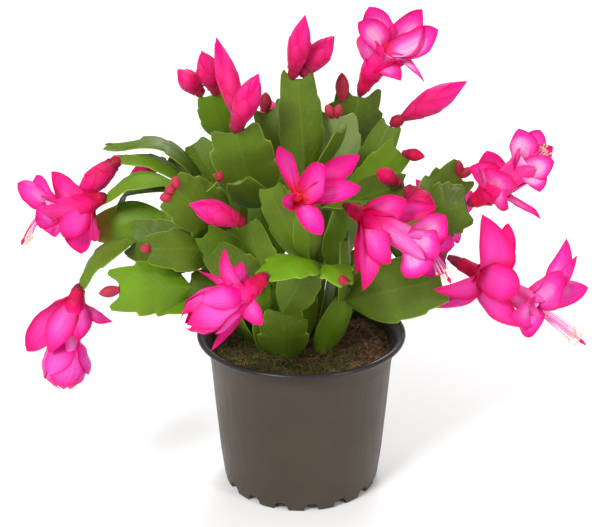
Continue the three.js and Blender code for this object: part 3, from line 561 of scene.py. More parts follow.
# Each row: a segment's mark, the mark of what it grows from, its tip, its width, the way its broad side
# faces (degrees round from the front, degrees up), its bow and its teeth.
STEMS = {
    "stem_front": ((-10, -16), [
        ("A1", "foot", (-10, -24, 115), 29, (0, 10), 1, TOOTHED),
        ("A3", "A1", (6, -34, 149), 23, (-10, 15), 2, TOOTHED),
        ("A4a", "A3", (-16, -66, 156), 27, (-20, 62), 4, TOOTHED),
        ("A4b", "A3", (23, -58, 147), 21, (20, 60), 4, SHORT),
        ("A5", "A3", (-16, -41, 193), 20, (-10, 15), 2, TOOTHED),
        ("A6", "A3", (2, -38, 181), 16, (15, 15), 1, PLAIN),
    ]),
    "stem_front_left": ((-19, -7), [
        ("K1", "foot", (-18, -18, 127), 20, (30, 10), 1, PLAIN),
        ("I2", "K1", (-28, -40, 174), 20, (-20, 15), 3, SHORT),
        ("I3", "K1", (-46, -44, 159), 24, (-10, 25), 3, SHORT),
        ("K2", "K1", (-51, -33, 164), 22, (-10, 20), 1, PLAIN),
    ]),
    "stem_left_low": ((-30, 1), [
        ("L1a", "foot", (-42, -16, 119), 22, (-50, 15), 1, PLAIN),
        ("H6", "L1a", (-61, -32, 134), 28, (-15, 25), 2, SHORT),
        ("H4", "H6", (-96, -50, 140), 31, (-10, 25), 3, TOOTHED),
        ("H5", "L1a", (-74, -44, 126), 16, (0, 60), 3, SHORT),
        ("L2a", "foot", (-32, 2, 121), 20, (-60, 10), 1, PLAIN),
        ("L2b", "L2a", (-50, -22, 149), 24, (-10, 20), 2, SHORT),
        ("H3", "L2b", (-79, -48, 162), 24, (-10, 30), 3, SHORT),
        ("H1", "L2b", (-91, -22, 158), 30, (-10, 20), 2, TOOTHED),
        ("G7", "H1", (-120, -30, 136), 22, (-10, 82), 5, SHORT),
    ]),
    "stem_left_high": ((-18, 6), [
        ("L3a", "foot", (-25, 10, 120), 20, (-65, 10), 1, PLAIN),
        ("L3b", "L3a", (-43, -9, 161), 24, (-40, 15), 2, PLAIN),
        ("H2", "L3b", (-67, -36, 190), 31, (-10, 30), 3, TOOTHED),
        ("L3c", "L3b", (-71, -6, 182), 22, (-30, 20), 2, PLAIN),
        ("G4", "L3c", (-105, -12, 180), 20, (-20, 80), 7, SHORT),
        ("G5", "L3c", (-108, 4, 168), 18, (0, 92), 5, SHORT),
        ("G6a", "L3b", (-76, -4, 164), 20, (-30, 20), 2, PLAIN),
        ("G6", "G6a", (-113, -4, 157), 24, (-10, 25), 3, SHORT),
        ("L4b", "L3a", (-40, 14, 150), 20, (-70, 10), 1, PLAIN),
        ("L4c", "L4b", (-54, 14, 178), 24, (-5, 15), 1, SHORT),
        ("G1", "L4c", (-99, 12, 207), 22, (0, 86), 9, TOOTHED),
        ("G2", "L4c", (-97, 0, 198), 18, (0, 74), 5, SHORT),
        ("F2", "L4c", (-60, 20, 199), 22, (-10, 10), 1, SHORT),
        ("G3", "L4c", (-75, 26, 188), 15, (0, 30), 1, SHORT),
    ]),
    "stem_top_left": ((-10, 17), [
        ("M1", "foot", (-15, 20, 127), 22, (40, 10), 1, PLAIN),
        ("M2", "M1", (-22, 4, 168), 24, (-25, 15), 1, PLAIN),
        ("E3", "M2", (-35, -16, 216), 37, (-5, 20), 3, TOOTHED),
        ("I4", "M2", (-33, -34, 194), 22, (-15, 25), 3, SHORT),
        ("M3", "M1", (-30, 32, 164), 24, (-60, 5), 1, PLAIN),
        ("F0", "M3", (-42, 33, 197), 22, (-30, 5), 1, SHORT),
        ("F1", "F0", (-50, 20, 226), 22, (-5, 15), 2, TOOTHED),
    ]),
    "stem_top": ((-1, 9), [
        ("T1", "foot", (0, 2, 135), 22, (-28, 10), 1, PLAIN),
        ("T2", "T1", (2, 2, 184), 23, (25, 5), 1, SHORT),
        ("E1", "T2", (-2, 3, 240), 25, (5, 10), 2, TOOTHED),
        ("E2", "T2", (-18, 19, 218), 26, (0, -10), 1, TOOTHED),
        ("D3", "T2", (21, -14, 216), 19, (50, 10), 2, SHORT),
    ]),
    "stem_top_right": ((6, 25), [
        ("N1", "foot", (12, 24, 126), 22, (60, 5), 1, PLAIN),
        ("N2", "N1", (17, 22, 165), 24, (35, 5), 1, PLAIN),
        ("D2", "N2", (19, 8, 218), 32, (0, 15), -2, TOOTHED),
        ("N3", "N2", (25, 30, 191), 24, (45, 5), 1, PLAIN),
        ("D1", "N3", (32, 26, 224), 34, (5, 5), 2, TOOTHED),
    ]),
    "stem_right_back": ((12, 9), [
        ("P1", "foot", (19, 12, 126), 20, (70, 5), 1, PLAIN),
        ("P2", "P1", (26, 4, 168), 24, (30, 10), 1, SHORT),
        ("D4", "P2", (48, 6, 213), 22, (-30, 10), 3, SHORT),
        ("C3", "P2", (52, -11, 204), 22, (10, 35), 2, TOOTHED),
        ("C4", "P2", (54, -26, 190), 22, (10, 30), 3, SHORT),
        ("C5", "P2", (27, -36, 183), 25, (0, 66), 2, SHORT),
    ]),
    "stem_right": ((19, 2), [
        ("R1", "foot", (29, -4, 121), 20, (55, 10), 1, PLAIN),
        ("R2", "R1", (48, -10, 150), 24, (45, 15), 1, PLAIN),
        ("R3", "R2", (67, -10, 169), 24, (40, 15), 1, SHORT),
        ("C2", "R3", (87, 0, 186), 27, (10, 15), 2, TOOTHED),
        ("C1", "R3", (89, -18, 176), 31, (10, 20), 2, TOOTHED),
        ("C7", "R2", (79, -22, 148), 22, (10, 40), 2, SHORT),
    ]),
    "stem_front_right": ((12, -10), [
        ("B1", "foot", (24, -16, 119), 18, (20, 10), 1, PLAIN),
        ("B2", "B1", (24, -26, 159), 18, (65, 10), 2, SHORT),
        ("B3", "B1", (75, -34, 139), 36, (8, 25), 3, TOOTHED),
    ]),
    "stem_back_left": ((-14, 32), [
        ("Q1", "foot", (-28, 46, 122), 22, (-150, 20), 1, PLAIN),
        ("Q2", "Q1", (-46, 62, 150), 25, (-150, 25), 2, SHORT),
        ("Q3", "Q2", (-64, 80, 140), 27, (-150, 45), 3, TOOTHED),
        ("Q4", "Q2", (-38, 86, 174), 26, (-170, 30), 2, TOOTHED),
        ("Q5", "Q1", (-62, 52, 134), 23, (-140, 40), 2, SHORT),
        ("Q6", "Q5", (-92, 54, 136), 26, (-130, 50), 4, TOOTHED),
    ]),
    "stem_back": ((2, 38), [
        ("S1", "foot", (2, 58, 124), 22, (180, 15), 1, PLAIN),
        ("S2", "S1", (-6, 76, 158), 25, (180, 20), 2, SHORT),
        ("S3", "S2", (-16, 96, 184), 27, (-170, 30), 2, TOOTHED),
        ("S4", "S2", (12, 104, 170), 26, (170, 45), 3, TOOTHED),
        ("S5", "S1", (22, 86, 138), 23, (165, 40), 2, SHORT),
        ("S6", "S5", (30, 114, 134), 26, (170, 60), 4, TOOTHED),
    ]),
    "stem_back_right": ((20, 32), [
        ("U1", "foot", (36, 44, 122), 22, (150, 15), 1, PLAIN),
        ("U2", "U1", (58, 54, 150), 25, (150, 25), 2, SHORT),
        ("U3", "U2", (72, 78, 148), 27, (140, 40), 3, TOOTHED),
        ("U4", "U2", (46, 84, 160), 26, (160, 35), 2, TOOTHED),
        ("U5", "U1", (54, 68, 130), 23, (150, 40), 2, SHORT),
        ("U6", "U5", (80, 84, 126), 24, (145, 50), 4, TOOTHED),
    ]),
}

# How young a segment is, from 0, dark and leathery, to 1, fresh yellow-green. The rest are drawn.
FRESH = {"A4a": 0.9, "A4b": 0.85, "A5": 0.4, "A6": 0.4, "A1": 0.3, "B3": 0.3, "H4": 0.72, "H3": 0.35,
         "H5": 0.8, "H1": 0.25, "D1": 0.1, "D2": 0.7, "E1": 0.3, "E3": 0.35, "C1": 0.2, "C2": 0.25,
         "G4": 0.6, "G6": 0.7, "B2": 0.35, "I4": 0.3, "H2": 0.4}
PALE_BACK = {"D2": 1.0}
HORNS = {"H4": 0.13, "D1": 0.17, "A4a": 0.14, "C2": 0.16, "E1": 0.09, "E2": 0.09, "H1": 0.07}
REDDENED = {"G6": 0.8, "G4": 0.25}

# Round pin-head buds at the tips of some segments: base, tip and thickness.
PIN_BUDS = {
    "stem_left_low": [((-96, -50, 140), (-107, -51, 138), 6), ((-79, -48, 162), (-84, -50, 164), 5)],
    "stem_left_high": [
        ((-65.2, -35.2, 191.4), (-66, -37, 198.5), 5), ((-67, -36, 190), (-70.5, -39, 193), 5),
        ((-68, -36.4, 187.4), (-74, -40, 187.4), 5)],
    "stem_top": [((-20, 18, 218), (-19.5, 18, 229), 7)],
    "stem_top_right": [
        ((17, 8, 217.4), (13.5, 7, 225), 5), ((19, 8, 217.4), (21, 7, 225), 5),
        ((23, 26, 222), (22.5, 26, 238), 7.6)],
    "stem_right": [((87, 0, 186), (86, -1, 196), 5), ((87, 0, 186), (94, -2, 192), 5)],
    "stem_front": [((23, -58, 147), (20, -61, 152), 5)],
}
# One more stands on a thin stalk from a segment's edge: the stalk's foot, bend and end, then the bud's
# tip and thickness.
STALKED = {
    "stem_left_high": ((-51.2, -24.0, 185.4), (-48, -28.5, 188), (-44, -29.5, 193.5), (-42, -30.5, 199.5), 5),
}
stem_draw = random.Random(4711)


def slab_mesh(name, columns, rows):
    """A flat closed slab, -1 to 1 across and 0 to 1 along, to be laid out as a segment or a petal."""
    shape = bmesh.new()
    bmesh.ops.create_grid(shape, x_segments=columns, y_segments=rows, size=1)
    bmesh.ops.solidify(shape, geom=shape.faces[:], thickness=1)
    for corner in shape.verts:
        corner.co.y = (corner.co.y + 1) / 2
        corner.co.z = 1 if corner.co.z > -0.5 else -1
    return keep_as_mesh(shape, name)


segment_slab = slab_mesh("segment_slab", 20, 34)
pin_rod = rod_mesh("pin_rod", 10, 8)


def look(facing):
    """The way a broad side faces, from its degrees round and up."""
    turn, lift = (math.radians(angle) for angle in facing)
    return Vector((math.sin(turn) * math.cos(lift), -math.cos(turn) * math.cos(lift), math.sin(lift)))


def margin(along, teeth, depth, neck_width, tip_width):
    """Half width of a segment, and how far its margin leans forward there into a tooth."""
    half = neck_width + (1 - neck_width) * math.sin(min(along, 0.5) * math.pi) ** 0.85
    if along > 0.5:
        half = 1 - (1 - tip_width) * ((along - 0.5) / 0.5) ** 2.2
    low = 0.0
    for tooth in teeth:
        if along <= tooth:
            share = (along - low) / (tooth - low)
            cut = depth * (1 - share) ** 1.5 * min(1, share / TOOTH_NOTCH) if low else 0
            return half - cut, TOOTH_LEAN * share ** 3
        low = tooth
    return half, 0.0


def smooth_step(value, low, high):
    """Eases from 0 to 1 while a value goes from low to high."""
    share = min(1, max(0, (value - low) / (high - low)))
    return share * share * (3 - 2 * share)


def flesh(edge, along, full_width):
    """How thick a segment is: most along its rib, thin at its margin, and round at its neck."""
    rib = math.exp(-(edge / RIB_REACH) ** 2) * (1 - 0.5 * along)
    blade = EDGE * (0.25 + 0.75 * (1 - edge ** 6) ** 0.5) + (RIB - EDGE) * rib + 0.5 * (1 - edge ** 2)
    neck = 1 - smooth_step(along, 0.0, NECK_LENGTH)
    return blade * (1 - neck) + min(RIB, full_width) * (1 - 0.6 * edge ** 2) * neck


def leaf_and_hue(shape):
    """Where a corner lies on its segment and how fresh that is, and its pale, red and ruddy shares."""
    return shape.verts.layers.float_vector["leaf"], shape.verts.layers.float_vector["hue"]


def grow_segment(shape, base, row):
    """Lays a slab out as one segment, and gives the way across it."""
    mark, parent, tip, width, facing, bow, teeth = row
    tip = Vector(tip)
    ahead = (tip - base).normalized()
    start = base - ahead * (FOOT_SINK if parent == "foot" else SINK)
    neck_width = FOOT_WIDTH if parent == "foot" else BROAD_NECKS.get(mark, NECK_WIDTH)
    length = (tip - start).length
    out = square_to(ahead, look(facing))
    across = ahead.cross(out)
    fresh = FRESH.get(mark, stem_draw.uniform(*FRESHNESS))
    pale = PALE_BACK.get(mark, 0.0)
    blush = REDDENED.get(mark, 0.0)
    seed = stem_draw.uniform(0, 100)
    horn_length = HORNS.get(mark, stem_draw.uniform(*HORN))
    corner_cut = stem_draw.uniform(*CORNER_CUT)
    depth = TOOTH_DEPTH[teeth] * stem_draw.uniform(*TOOTH_SPREAD) * JAGGED.get(mark, 1.0)
    places = [tooth + stem_draw.uniform(-TOOTH_SHIFT, TOOTH_SHIFT) for tooth in teeth[:-1]] + [1.0]
    tip_width = TIP_WIDTH[teeth] * (ARCHED_TIP_WIDTH if facing[1] > ARCHED else 1)
    hooked = facing[1] > HANGING
    if hooked:
        horn_length, corner_cut, depth = HOOK, 0.0, depth * HOOK_TEETH
        tip_width *= HOOK_TIP_WIDTH
    leaf, hue = leaf_and_hue(shape)
    for corner in add_copy(shape, segment_slab):
        side, along, face = math.sin(corner.co.x * math.pi / 2), corner.co.y, corner.co.z
        edge = abs(side)
        half, lean = margin(along, places, depth, neck_width, tip_width)
        horn = horn_length * smooth_step(edge, 0.3, 0.8) - corner_cut * smooth_step(edge, 0.8, 1.0)
        horn = horn * along ** 9
        wave = noise.noise(Vector((side * 1.2, along * 2.0, seed))) * WAVE * width * edge
        thick = flesh(edge, along, half * width)
        lift = bow * 4 * along * (1 - along) - HOLLOW * width * side * side + wave
        if hooked:
            lift -= HOOK_DROP * edge ** 2 * smooth_step(along, 0.7, 1.0)
            lift -= DROOP.get(mark, 0.0) * smooth_step(along, 0.6, 1.0)
        corner.co = (start + ahead * ((along + lean * edge ** 4 + horn) * length)
                     + across * (side * half * width / 2) + out * (lift + face * thick / 2))
        corner[leaf] = (side, along, fresh)
        corner[hue] = (pale, 0.0, blush * smooth_step(along, 0.5, 1.0))
    return across


def add_round_part(shape, mesh, stations, girth, leaf_there, hue_there):
    """A round part of a stem, along its stations, with one place and hue all over."""
    leaf, hue = leaf_and_hue(shape)
    for corner in bend_rod(shape, mesh, [Vector(station) for station in stations], girth):
        corner[leaf] = leaf_there
        corner[hue] = hue_there


def plant_foot(shape, x, y):
    """The short woody foot of a stem, down in its hole in the peat."""
    add_round_part(shape, pin_rod, [(x, y, PEAT_TOP - PEG_DEPTH), (x, y, FOOT_LIFT + 2)],
                   lambda share: PEG_RADIUS * (1 - 0.35 * share ** 3), (0.3, 0.1, 0.2), (0.0, 0.0, 0.0))


def add_pin_bud(shape, base, tip, thick):
    """A pin-head bud, pointed at its end."""
    def girth(share):
        return thick * (0.5 * math.sin(math.pi * min(1, 0.12 + 0.88 * share ** 1.1)) ** 0.75 + 0.03)

    add_round_part(shape, pin_rod, [base, tip], girth, (0.3, 0.5, 0.3), (0.0, 1.0, 0.0))


def add_stalked_bud(shape, foot, bend, end, tip, thick):
    add_round_part(shape, thin_rod, [foot, bend, end], lambda share: STALK_RADIUS,
                   (0.3, 0.5, 1.0), (0.6, 0.0, 0.6))
    add_pin_bud(shape, end, tip, thick)


def fork_start(tips, rows, row):
    """Where one tip carries several segments they stand side by side along it."""
    mark, parent = row[0], row[1]
    tip, across, width = tips[parent]
    siblings = sorted((other for other in rows if other[1] == parent),
                      key=lambda other: (Vector(other[2]) - tip).dot(across))
    place = [other[0] for other in siblings].index(mark) - (len(siblings) - 1) / 2
    step = min(FORK, 0.6 * width / max(1, len(siblings) - 1))
    return tip + across * (place * step)


def carried(tree, name):
    """The three figures that a piece's corners carry under a name."""
    vector = wire(tree, "ShaderNodeAttribute", attribute_name=name).outputs["Vector"]
    parts = wire(tree, "ShaderNodeSeparateXYZ", {"Vector": vector})
    return [parts.outputs[axis] for axis in "XYZ"]


def segment_finish():
    """Waxy green with a paler rib and rim, flecks, slanting veins, a ruddy flush, and the pin buds' red."""
    finish, tree, shader, place = new_finish(
        "waxy_green", Specular_IOR_Level=0.24, Subsurface_Weight=0.1, Subsurface_Scale=0.002,
        Subsurface_Radius=(0.6, 1.0, 0.15))
    side, along, fresh = carried(tree, "leaf")
    pale_back, red, blush = carried(tree, "hue")
    edge = reckon(tree, "ABSOLUTE", side)
    patch = grain(tree, place, 55.0, 4.0)
    fleck = grain(tree, place, 900.0, 3.0)
    age = reckon(tree, "ADD", fresh, reckon(tree, "MULTIPLY_ADD", patch, 0.55, -0.27))
    flesh = ramp(tree, age, (0.0, (0.052, 0.092, 0.006)), (0.35, (0.100, 0.166, 0.009)),
                 (0.7, (0.132, 0.258, 0.007)), (1.0, (0.165, 0.365, 0.007)))
    flecked = blend_colours(tree, grey_ramp(tree, fleck, (0.45, 0.0), (0.7, 0.16)), flesh, (0.19, 0.31, 0.04))
    ruddy = grey_ramp(tree, reckon(tree, "MULTIPLY", blush, patch), (0.2, 0.0), (0.6, 0.85))
    flushed = blend_colours(tree, ruddy, flecked, (0.30, 0.11, 0.02))
    rim = grey_ramp(tree, edge, (0.955, 0.0), (0.995, 0.7))
    rimmed = blend_colours(tree, rim, flushed, (0.32, 0.43, 0.05))
    rib = grey_ramp(tree, edge, (0.0, 0.3), (0.07, 0.0))
    ribbed = blend_colours(tree, rib, rimmed, (0.15, 0.27, 0.02))
    pale = blend_colours(tree, pale_back, ribbed, (0.27, 0.37, 0.12))
    bud = ramp(tree, patch, (0.35, (0.34, 0.020, 0.040)), (0.65, (0.52, 0.034, 0.078)))
    tree.links.new(blend_colours(tree, red, pale, bud), shader.inputs["Base Color"])
    slant = reckon(tree, "MULTIPLY_ADD", edge, -0.38, along)
    veins = reckon(tree, "SINE", reckon(tree, "MULTIPLY", slant, 52.0))
    ridged = reckon(tree, "MULTIPLY_ADD", veins, 0.12, patch)
    relief = reckon(tree, "MULTIPLY_ADD", fleck, 0.35, ridged)
    tree.links.new(grey_ramp(tree, patch, (0.3, 0.42), (0.7, 0.6)), shader.inputs["Roughness"])
    roughen(tree, shader, relief, 0.35, 0.0006)
    return finish


waxy_green = segment_finish()
tip_of = {}
for stem, (foot, rows) in STEMS.items():
    stem_shape = bmesh.new()
    stem_shape.verts.layers.float_vector.new("leaf")
    stem_shape.verts.layers.float_vector.new("hue")
    plant_foot(stem_shape, *foot)
    tips = {"foot": (Vector((*foot, FOOT_LIFT)), Vector((0, 0, 0)), 0)}
    for row in rows:
        across = grow_segment(stem_shape, fork_start(tips, rows, row), row)
        tips[row[0]] = (Vector(row[2]), across, row[3])
        tip_of[row[0]] = Vector(row[2])
    for base, tip, thick in PIN_BUDS.get(stem, []):
        add_pin_bud(stem_shape, base, tip, thick)
    if stem in STALKED:
        add_stalked_bud(stem_shape, *STALKED[stem])
    set_down(stem_shape, "leafy_" + stem, waxy_green, "stem_segment", stem)

# The open flowers: a dark red ovary on the segment's tip, a curved tube, and thin silky petals in two
# tiers, swept back from the throat and from the mouth. They are pale along the middle, partly their own
# colour and partly a painted highlight, and hot pink at the edge. Stamens and a long style hang out of
# the mouth.

# The tube's radius at shares of its length, and how full a closed cup of petals is. A tube ends in a
# funnel, or closed in a blunt dome that the petals' roots stand round.
TUBE = ((0.0, 1.3), (0.05, 2.8), (0.13, 3.3), (0.22, 3.2), (0.42, 4.3), (0.65, 4.6), (0.86, 4.8), (1.0, 5.7))
CLOSED_TUBE = TUBE[:4] + ((0.42, 3.0), (0.6, 2.9), (0.85, 1.9), (1.0, 0.6))
CUP = ((0.0, 0.40), (0.22, 0.78), (0.5, 1.0), (0.75, 0.88), (0.9, 0.55), (1.0, 0.14))
# Where along the tube each tier of petals starts, and how far from its middle.
FIRST_TIER = (0.42, 2.9)
SECOND_TIER = (0.86, 3.7)
PETAL_SINK = 1.2
PETAL_MORE = 3.4
PETAL_THICK = 0.4
# The ranges that each petal's own shape is drawn from. Narrow petals are straps, which roll up more,
# and those of a closed flower are paddles.
PETAL_CURL = (0.04, 0.12)
PETAL_CUP = (0.10, 0.30)
PETAL_ROOT = (0.46, 0.6)
PETAL_WIDEST = (0.42, 0.6)
PETAL_POINT = (1.9, 2.9)
PETAL_RUFFLE = (0.5, 1.3)
PETAL_ROLL = (0.2, 0.6)
STRAP = 12.5
STRAP_ROLL = (0.2, 1.4)
PADDLE_ROOT = 0.32
PADDLE_WIDEST = 0.68
SEAT = 0.7
TURN_TO_LIGHT = 0.65
TURN_AT_BACK = 0.1
GLOW = 0.2
CLOSED_GLOW = 0.42
SHEATH_THICK = 0.12
SHEATH_BULGE = 0.2
SCALE_PETALS = 4
SCALE_AT = 0.26
CLOSED_SCALE_AT = 0.1
SCALE_START = 2.0
SCALE_WIDTH = 6
SCALE_OUT = (5, 7)
SCALE_UP = (3, 6)
OVARY_END = 0.24
BRUSH_TURN = 2.4
BRUSH_DEPTH = 4
BRUSH_LENGTH = 14
BRUSH_SPREAD = (1.0, 4.6)
FILAMENT = 0.2
ANTHER = 0.54
STYLE = 0.42
LIGHT = Vector((0, -0.93, 0.37))
CRIMSON = Vector((0.56, 0.002, 0.034))
HOT_PINK = Vector((0.88, 0.002, 0.155))
MAGENTA = Vector((0.88, 0.004, 0.35))
LILAC = Vector((0.90, 0.12, 0.62))
WHITE_PINK = Vector((0.95, 0.50, 0.78))
CORAL = Vector((0.92, 0.07, 0.06))
OVARY_RED = Vector((0.17, 0.012, 0.014))
CREAM = Vector((0.92, 0.66, 0.34))
STYLE_PINK = Vector((0.70, 0.01, 0.14))

# Each flower: what carries it and how far beside that tip it sits, throat, mouth, the end of its style,
# how stout its tube is and whether it is closed, where along it the first tier starts, how pale its
# petals are, partly as a painted highlight, and how far its tube fades, its number of stamens, a cup
# of petals that is still closed (its tip and thickness) and where along the tube that starts, and its
# petals as tier, tip and width.
BLOOMS = {
    "bloom_far_left": dict(
        on="G4", throat=(-119, -16, 175), mouth=(-137, -22, 173), style=(-151, -26, 156),
        stout=1.2, first=0.34, pale=0.6, fade=0.3, stamens=22, petals=[
            (1, (-135, -6, 191), 13), (1, (-119, -24, 150), 14), (1, (-114, -4, 151), 13),
            (1, (-125, -36, 165), 13), (2, (-150, -24, 191), 11),
            (2, (-143, -10, 190), 12), (2, (-140, -36, 175), 11), (2, (-133, -24, 160), 12)]),
    "bloom_low_left": dict(
        on="G7", beside=(-0.1, -0.1, -0.3), throat=(-124, -34, 120), mouth=(-129, -38, 101),
        stout=1.2, first=0.3, pale=0.8, stamens=0, cup=((-131, -40, 76), 24), cup_from=0.9, petals=[
            (1, (-141, -34, 116), 9), (1, (-151, -36, 98), 13), (1, (-136, -52, 104), 13),
            (1, (-120, -46, 108), 11), (1, (-103, -30, 113), 5), (1, (-126, -24, 106), 11)]),
    "bloom_low_front": dict(
        on="A4a", beside=(-0.4, -0.1, -0.2), throat=(-29, -72, 148), mouth=(-45, -76, 139),
        stout=1.2, pale=0.8, stamens=0, cup=((-61, -80, 133), 21), petals=[
            (1, (-38, -76, 174), 6), (1, (-52, -68, 160), 3), (1, (-30, -62, 161), 7),
            (1, (-19, -80, 134), 7), (1, (-46, -72, 115), 4)]),
    "bloom_centre": dict(
        on="A6", beside=(0, -0.3, 0.8), throat=(-2, -50, 191), mouth=(-1, -53, 194), closed=True,
        pale=0.8, stamens=0, petals=[
            (1, (-12, -65, 227), 6), (1, (31, -70, 221), 8), (1, (14, -78, 218), 13),
            (1, (31, -82, 208), 9), (1, (11, -74, 179), 8), (1, (-9, -66, 199), 7)]),
    "bloom_right_middle": dict(
        on="C5", beside=(-5.4, -0.8, 0.2), throat=(41, -52, 177), mouth=(62, -62, 169),
        style=(76, -72, 153), stout=1.3, first=0.3, pale=0.85, stamens=20, petals=[
            (1, (54, -52, 192), 15), (1, (70, -46, 186), 10), (1, (27, -60, 154), 12),
            (1, (31, -68, 147), 12), (1, (44, -76, 166), 14),
            (2, (73, -60, 186), 17), (2, (79, -54, 167), 14), (2, (74, -66, 155), 13),
            (2, (58, -78, 159), 14), (2, (67, -80, 178), 12)]),
    "bloom_right_high": dict(
        on="C1", throat=(104, -20, 186), mouth=(121, -22, 201),
        stout=1.45, first=0.4, pale=1.2, fade=0.5, stamens=18, petals=[
            (1, (88, -24, 199), 14), (1, (98, -14, 205), 14), (1, (107, -36, 184), 12),
            (1, (128, -17, 167), 1), (1, (104, -40, 200), 17), (2, (113, -24, 221), 13),
            (2, (127, -8, 215), 11), (2, (134, -20, 210), 12), (2, (130, -38, 206), 11),
            (2, (124, -38, 189), 12), (2, (119, -6, 196), 8)]),
    "bloom_right_low": dict(
        on="C7", throat=(106, -30, 135), mouth=(127, -36, 124), style=(155, -40, 103),
        stout=1.15, first=0.27, pale=0.7, stamens=30, petals=[
            (1, (95, -32, 176), 18), (1, (112, -14, 164), 11), (1, (114, -52, 141), 16),
            (1, (70, -40, 137), 10), (1, (70, -18, 116), 5), (1, (118, -46, 115), 12),
            (2, (141, -26, 160), 9), (2, (146, -36, 154), 8), (2, (137, -50, 148), 16),
            (2, (154, -38, 137), 12), (2, (108, -56, 128), 12), (2, (122, -54, 116), 12)]),
    "bloom_top": dict(
        on="D1", throat=(40, 24, 241), mouth=(47, 22, 252),
        stout=1.3, first=0.52, pale=1.0, fade=0.2, stamens=0, petals=[
            (1, (33, 14, 260), 11), (1, (54, 12, 236), 10), (1, (61, 32, 248), 11),
            (1, (42, 42, 250), 10), (2, (35, 22, 275), 15), (2, (29, 10, 269), 12),
            (2, (66, 18, 275), 18), (2, (75, 12, 264), 14), (2, (66, 4, 237), 2)]),
    "bloom_back_left": dict(
        on="Q3", beside=(-0.2, 0.1, 0), throat=(-76, 88, 130), mouth=(-87, 95, 118),
        pale=0.6, stamens=18, petals=[
            (1, (-76, 90, 147), 11), (1, (-86, 76, 137), 9), (1, (-66, 100, 135), 9),
            (2, (-102, 100, 135), 11), (2, (-104, 86, 122), 9),
            (2, (-100, 90, 104), 9), (2, (-86, 108, 103), 9)]),
    "bloom_back": dict(
        on="S4", beside=(0, 0.4, -0.2), throat=(14, 118, 162), mouth=(14, 130, 148),
        pale=0.6, stamens=18, petals=[
            (1, (16, 128, 182), 11), (1, (-2, 124, 168), 9), (1, (32, 122, 166), 9),
            (2, (14, 148, 164), 11), (2, (32, 140, 148), 9),
            (2, (6, 138, 130), 9), (2, (22, 136, 129), 9)]),
    "bloom_back_right": dict(
        on="U3", beside=(0.2, 0.1, 0), throat=(83, 87, 140), mouth=(92, 94, 128),
        pale=0.6, stamens=18, petals=[
            (1, (84, 90, 158), 11), (1, (72, 104, 150), 9), (1, (92, 76, 148), 9),
            (2, (107, 100, 144), 11), (2, (106, 84, 130), 9),
            (2, (92, 104, 112), 9), (2, (99, 88, 111), 9)]),
}
# The layers of short petals that sheathe the tube, from its foot to its mouth, and those of a closed cup.
SLEEVES = ((4, 0.12, 0.34, 1.1, 0.2, 1.0), (4, 0.22, 0.62, 1.0, 0.3, 1.6), (5, 0.45, 1.08, 0.8, 0.2, 2.6))
CUP_LAYERS = ((3, 0.0, 0.97, 1.3, 0.0, 0.0), (3, 0.0, 0.88, 1.0, 0.8, 0.3), (3, 0.0, 0.6, 0.8, 1.5, 0.6))
petal_draw = random.Random(2025)
petal_slab = slab_mesh("petal_slab", 12, 20)
wrap_slab = slab_mesh("wrap_slab", 8, 12)
tube_rod = rod_mesh("tube_rod", 20, 16)


def throat_mesh():
    """A rod for a flower's tube, whose far end is a deep funnel."""
    shape = bmesh.new()
    shape.from_mesh(tube_rod)
    mouth = max(shape.faces, key=lambda face: face.calc_center_median().z)
    for _ in range(2):
        bmesh.ops.inset_region(shape, faces=[mouth], thickness=0.22)
        bmesh.ops.translate(shape, verts=mouth.verts, vec=(0, 0, -0.11))
    return keep_as_mesh(shape, "throat_rod")


throat_rod = throat_mesh()


def between(table, place):
    """A value read from a table of places and values, eased from one to the next."""
    for (low, first), (high, second) in zip(table, table[1:]):
        if place <= high:
            return first + (second - first) * smooth_step(place, low, high)
    return table[-1][1]


def new_petals():
    """An empty shape whose corners carry their place on the petal and their colour."""
    shape = bmesh.new()
    shape.verts.layers.float_vector.new("silk")
    shape.verts.layers.float_color.new("tint")
    return shape


def silk_and_tint(shape):
    return shape.verts.layers.float_vector["silk"], shape.verts.layers.float_color["tint"]


def petal_width(along, root, widest, point):
    """Half width along a petal: its share at the root, where it is widest, and how full its tip is."""
    if along < widest:
        return root + (1 - root) * math.sin(along / widest * math.pi / 2)
    return (1 - ((along - widest) / (1 - widest)) ** point) ** 0.8


def petal_colour(side, along, pale, outer, glow):
    """Lilac and white along the middle, partly the petal's own paler colour and partly a painted highlight
    along its fold, hot pink at the edge and the tip, crimson and coral towards the root.
    """
    edge = smooth_step(abs(side), 0.72, 0.98)
    # The pale middle is partly the petal's own colour and partly a painted highlight, stronger in paler
    # blooms.
    middle_and_highlight = (1 - abs(side) ** 1.5) * smooth_step(along, 0.0, 0.3) * (1 - smooth_step(along, 0.55, 1.0)) * pale
    skin = MAGENTA.lerp(HOT_PINK, min(1, 0.55 * outer + 0.7 * edge + 0.5 * smooth_step(along, 0.8, 1.0)))
    skin = skin.lerp(CRIMSON, min(1, outer * 0.9 * (1 - smooth_step(along, 0.1, 0.55)) + 0.35 * edge))
    skin = skin.lerp(LILAC, min(1, middle_and_highlight * 1.35))
    skin = skin.lerp(WHITE_PINK, min(1, max(0, middle_and_highlight - 0.42) * 1.7))
    return skin.lerp(CORAL, min(0.9, 3 * glow) * (1 - smooth_step(along, 0.0, glow)))


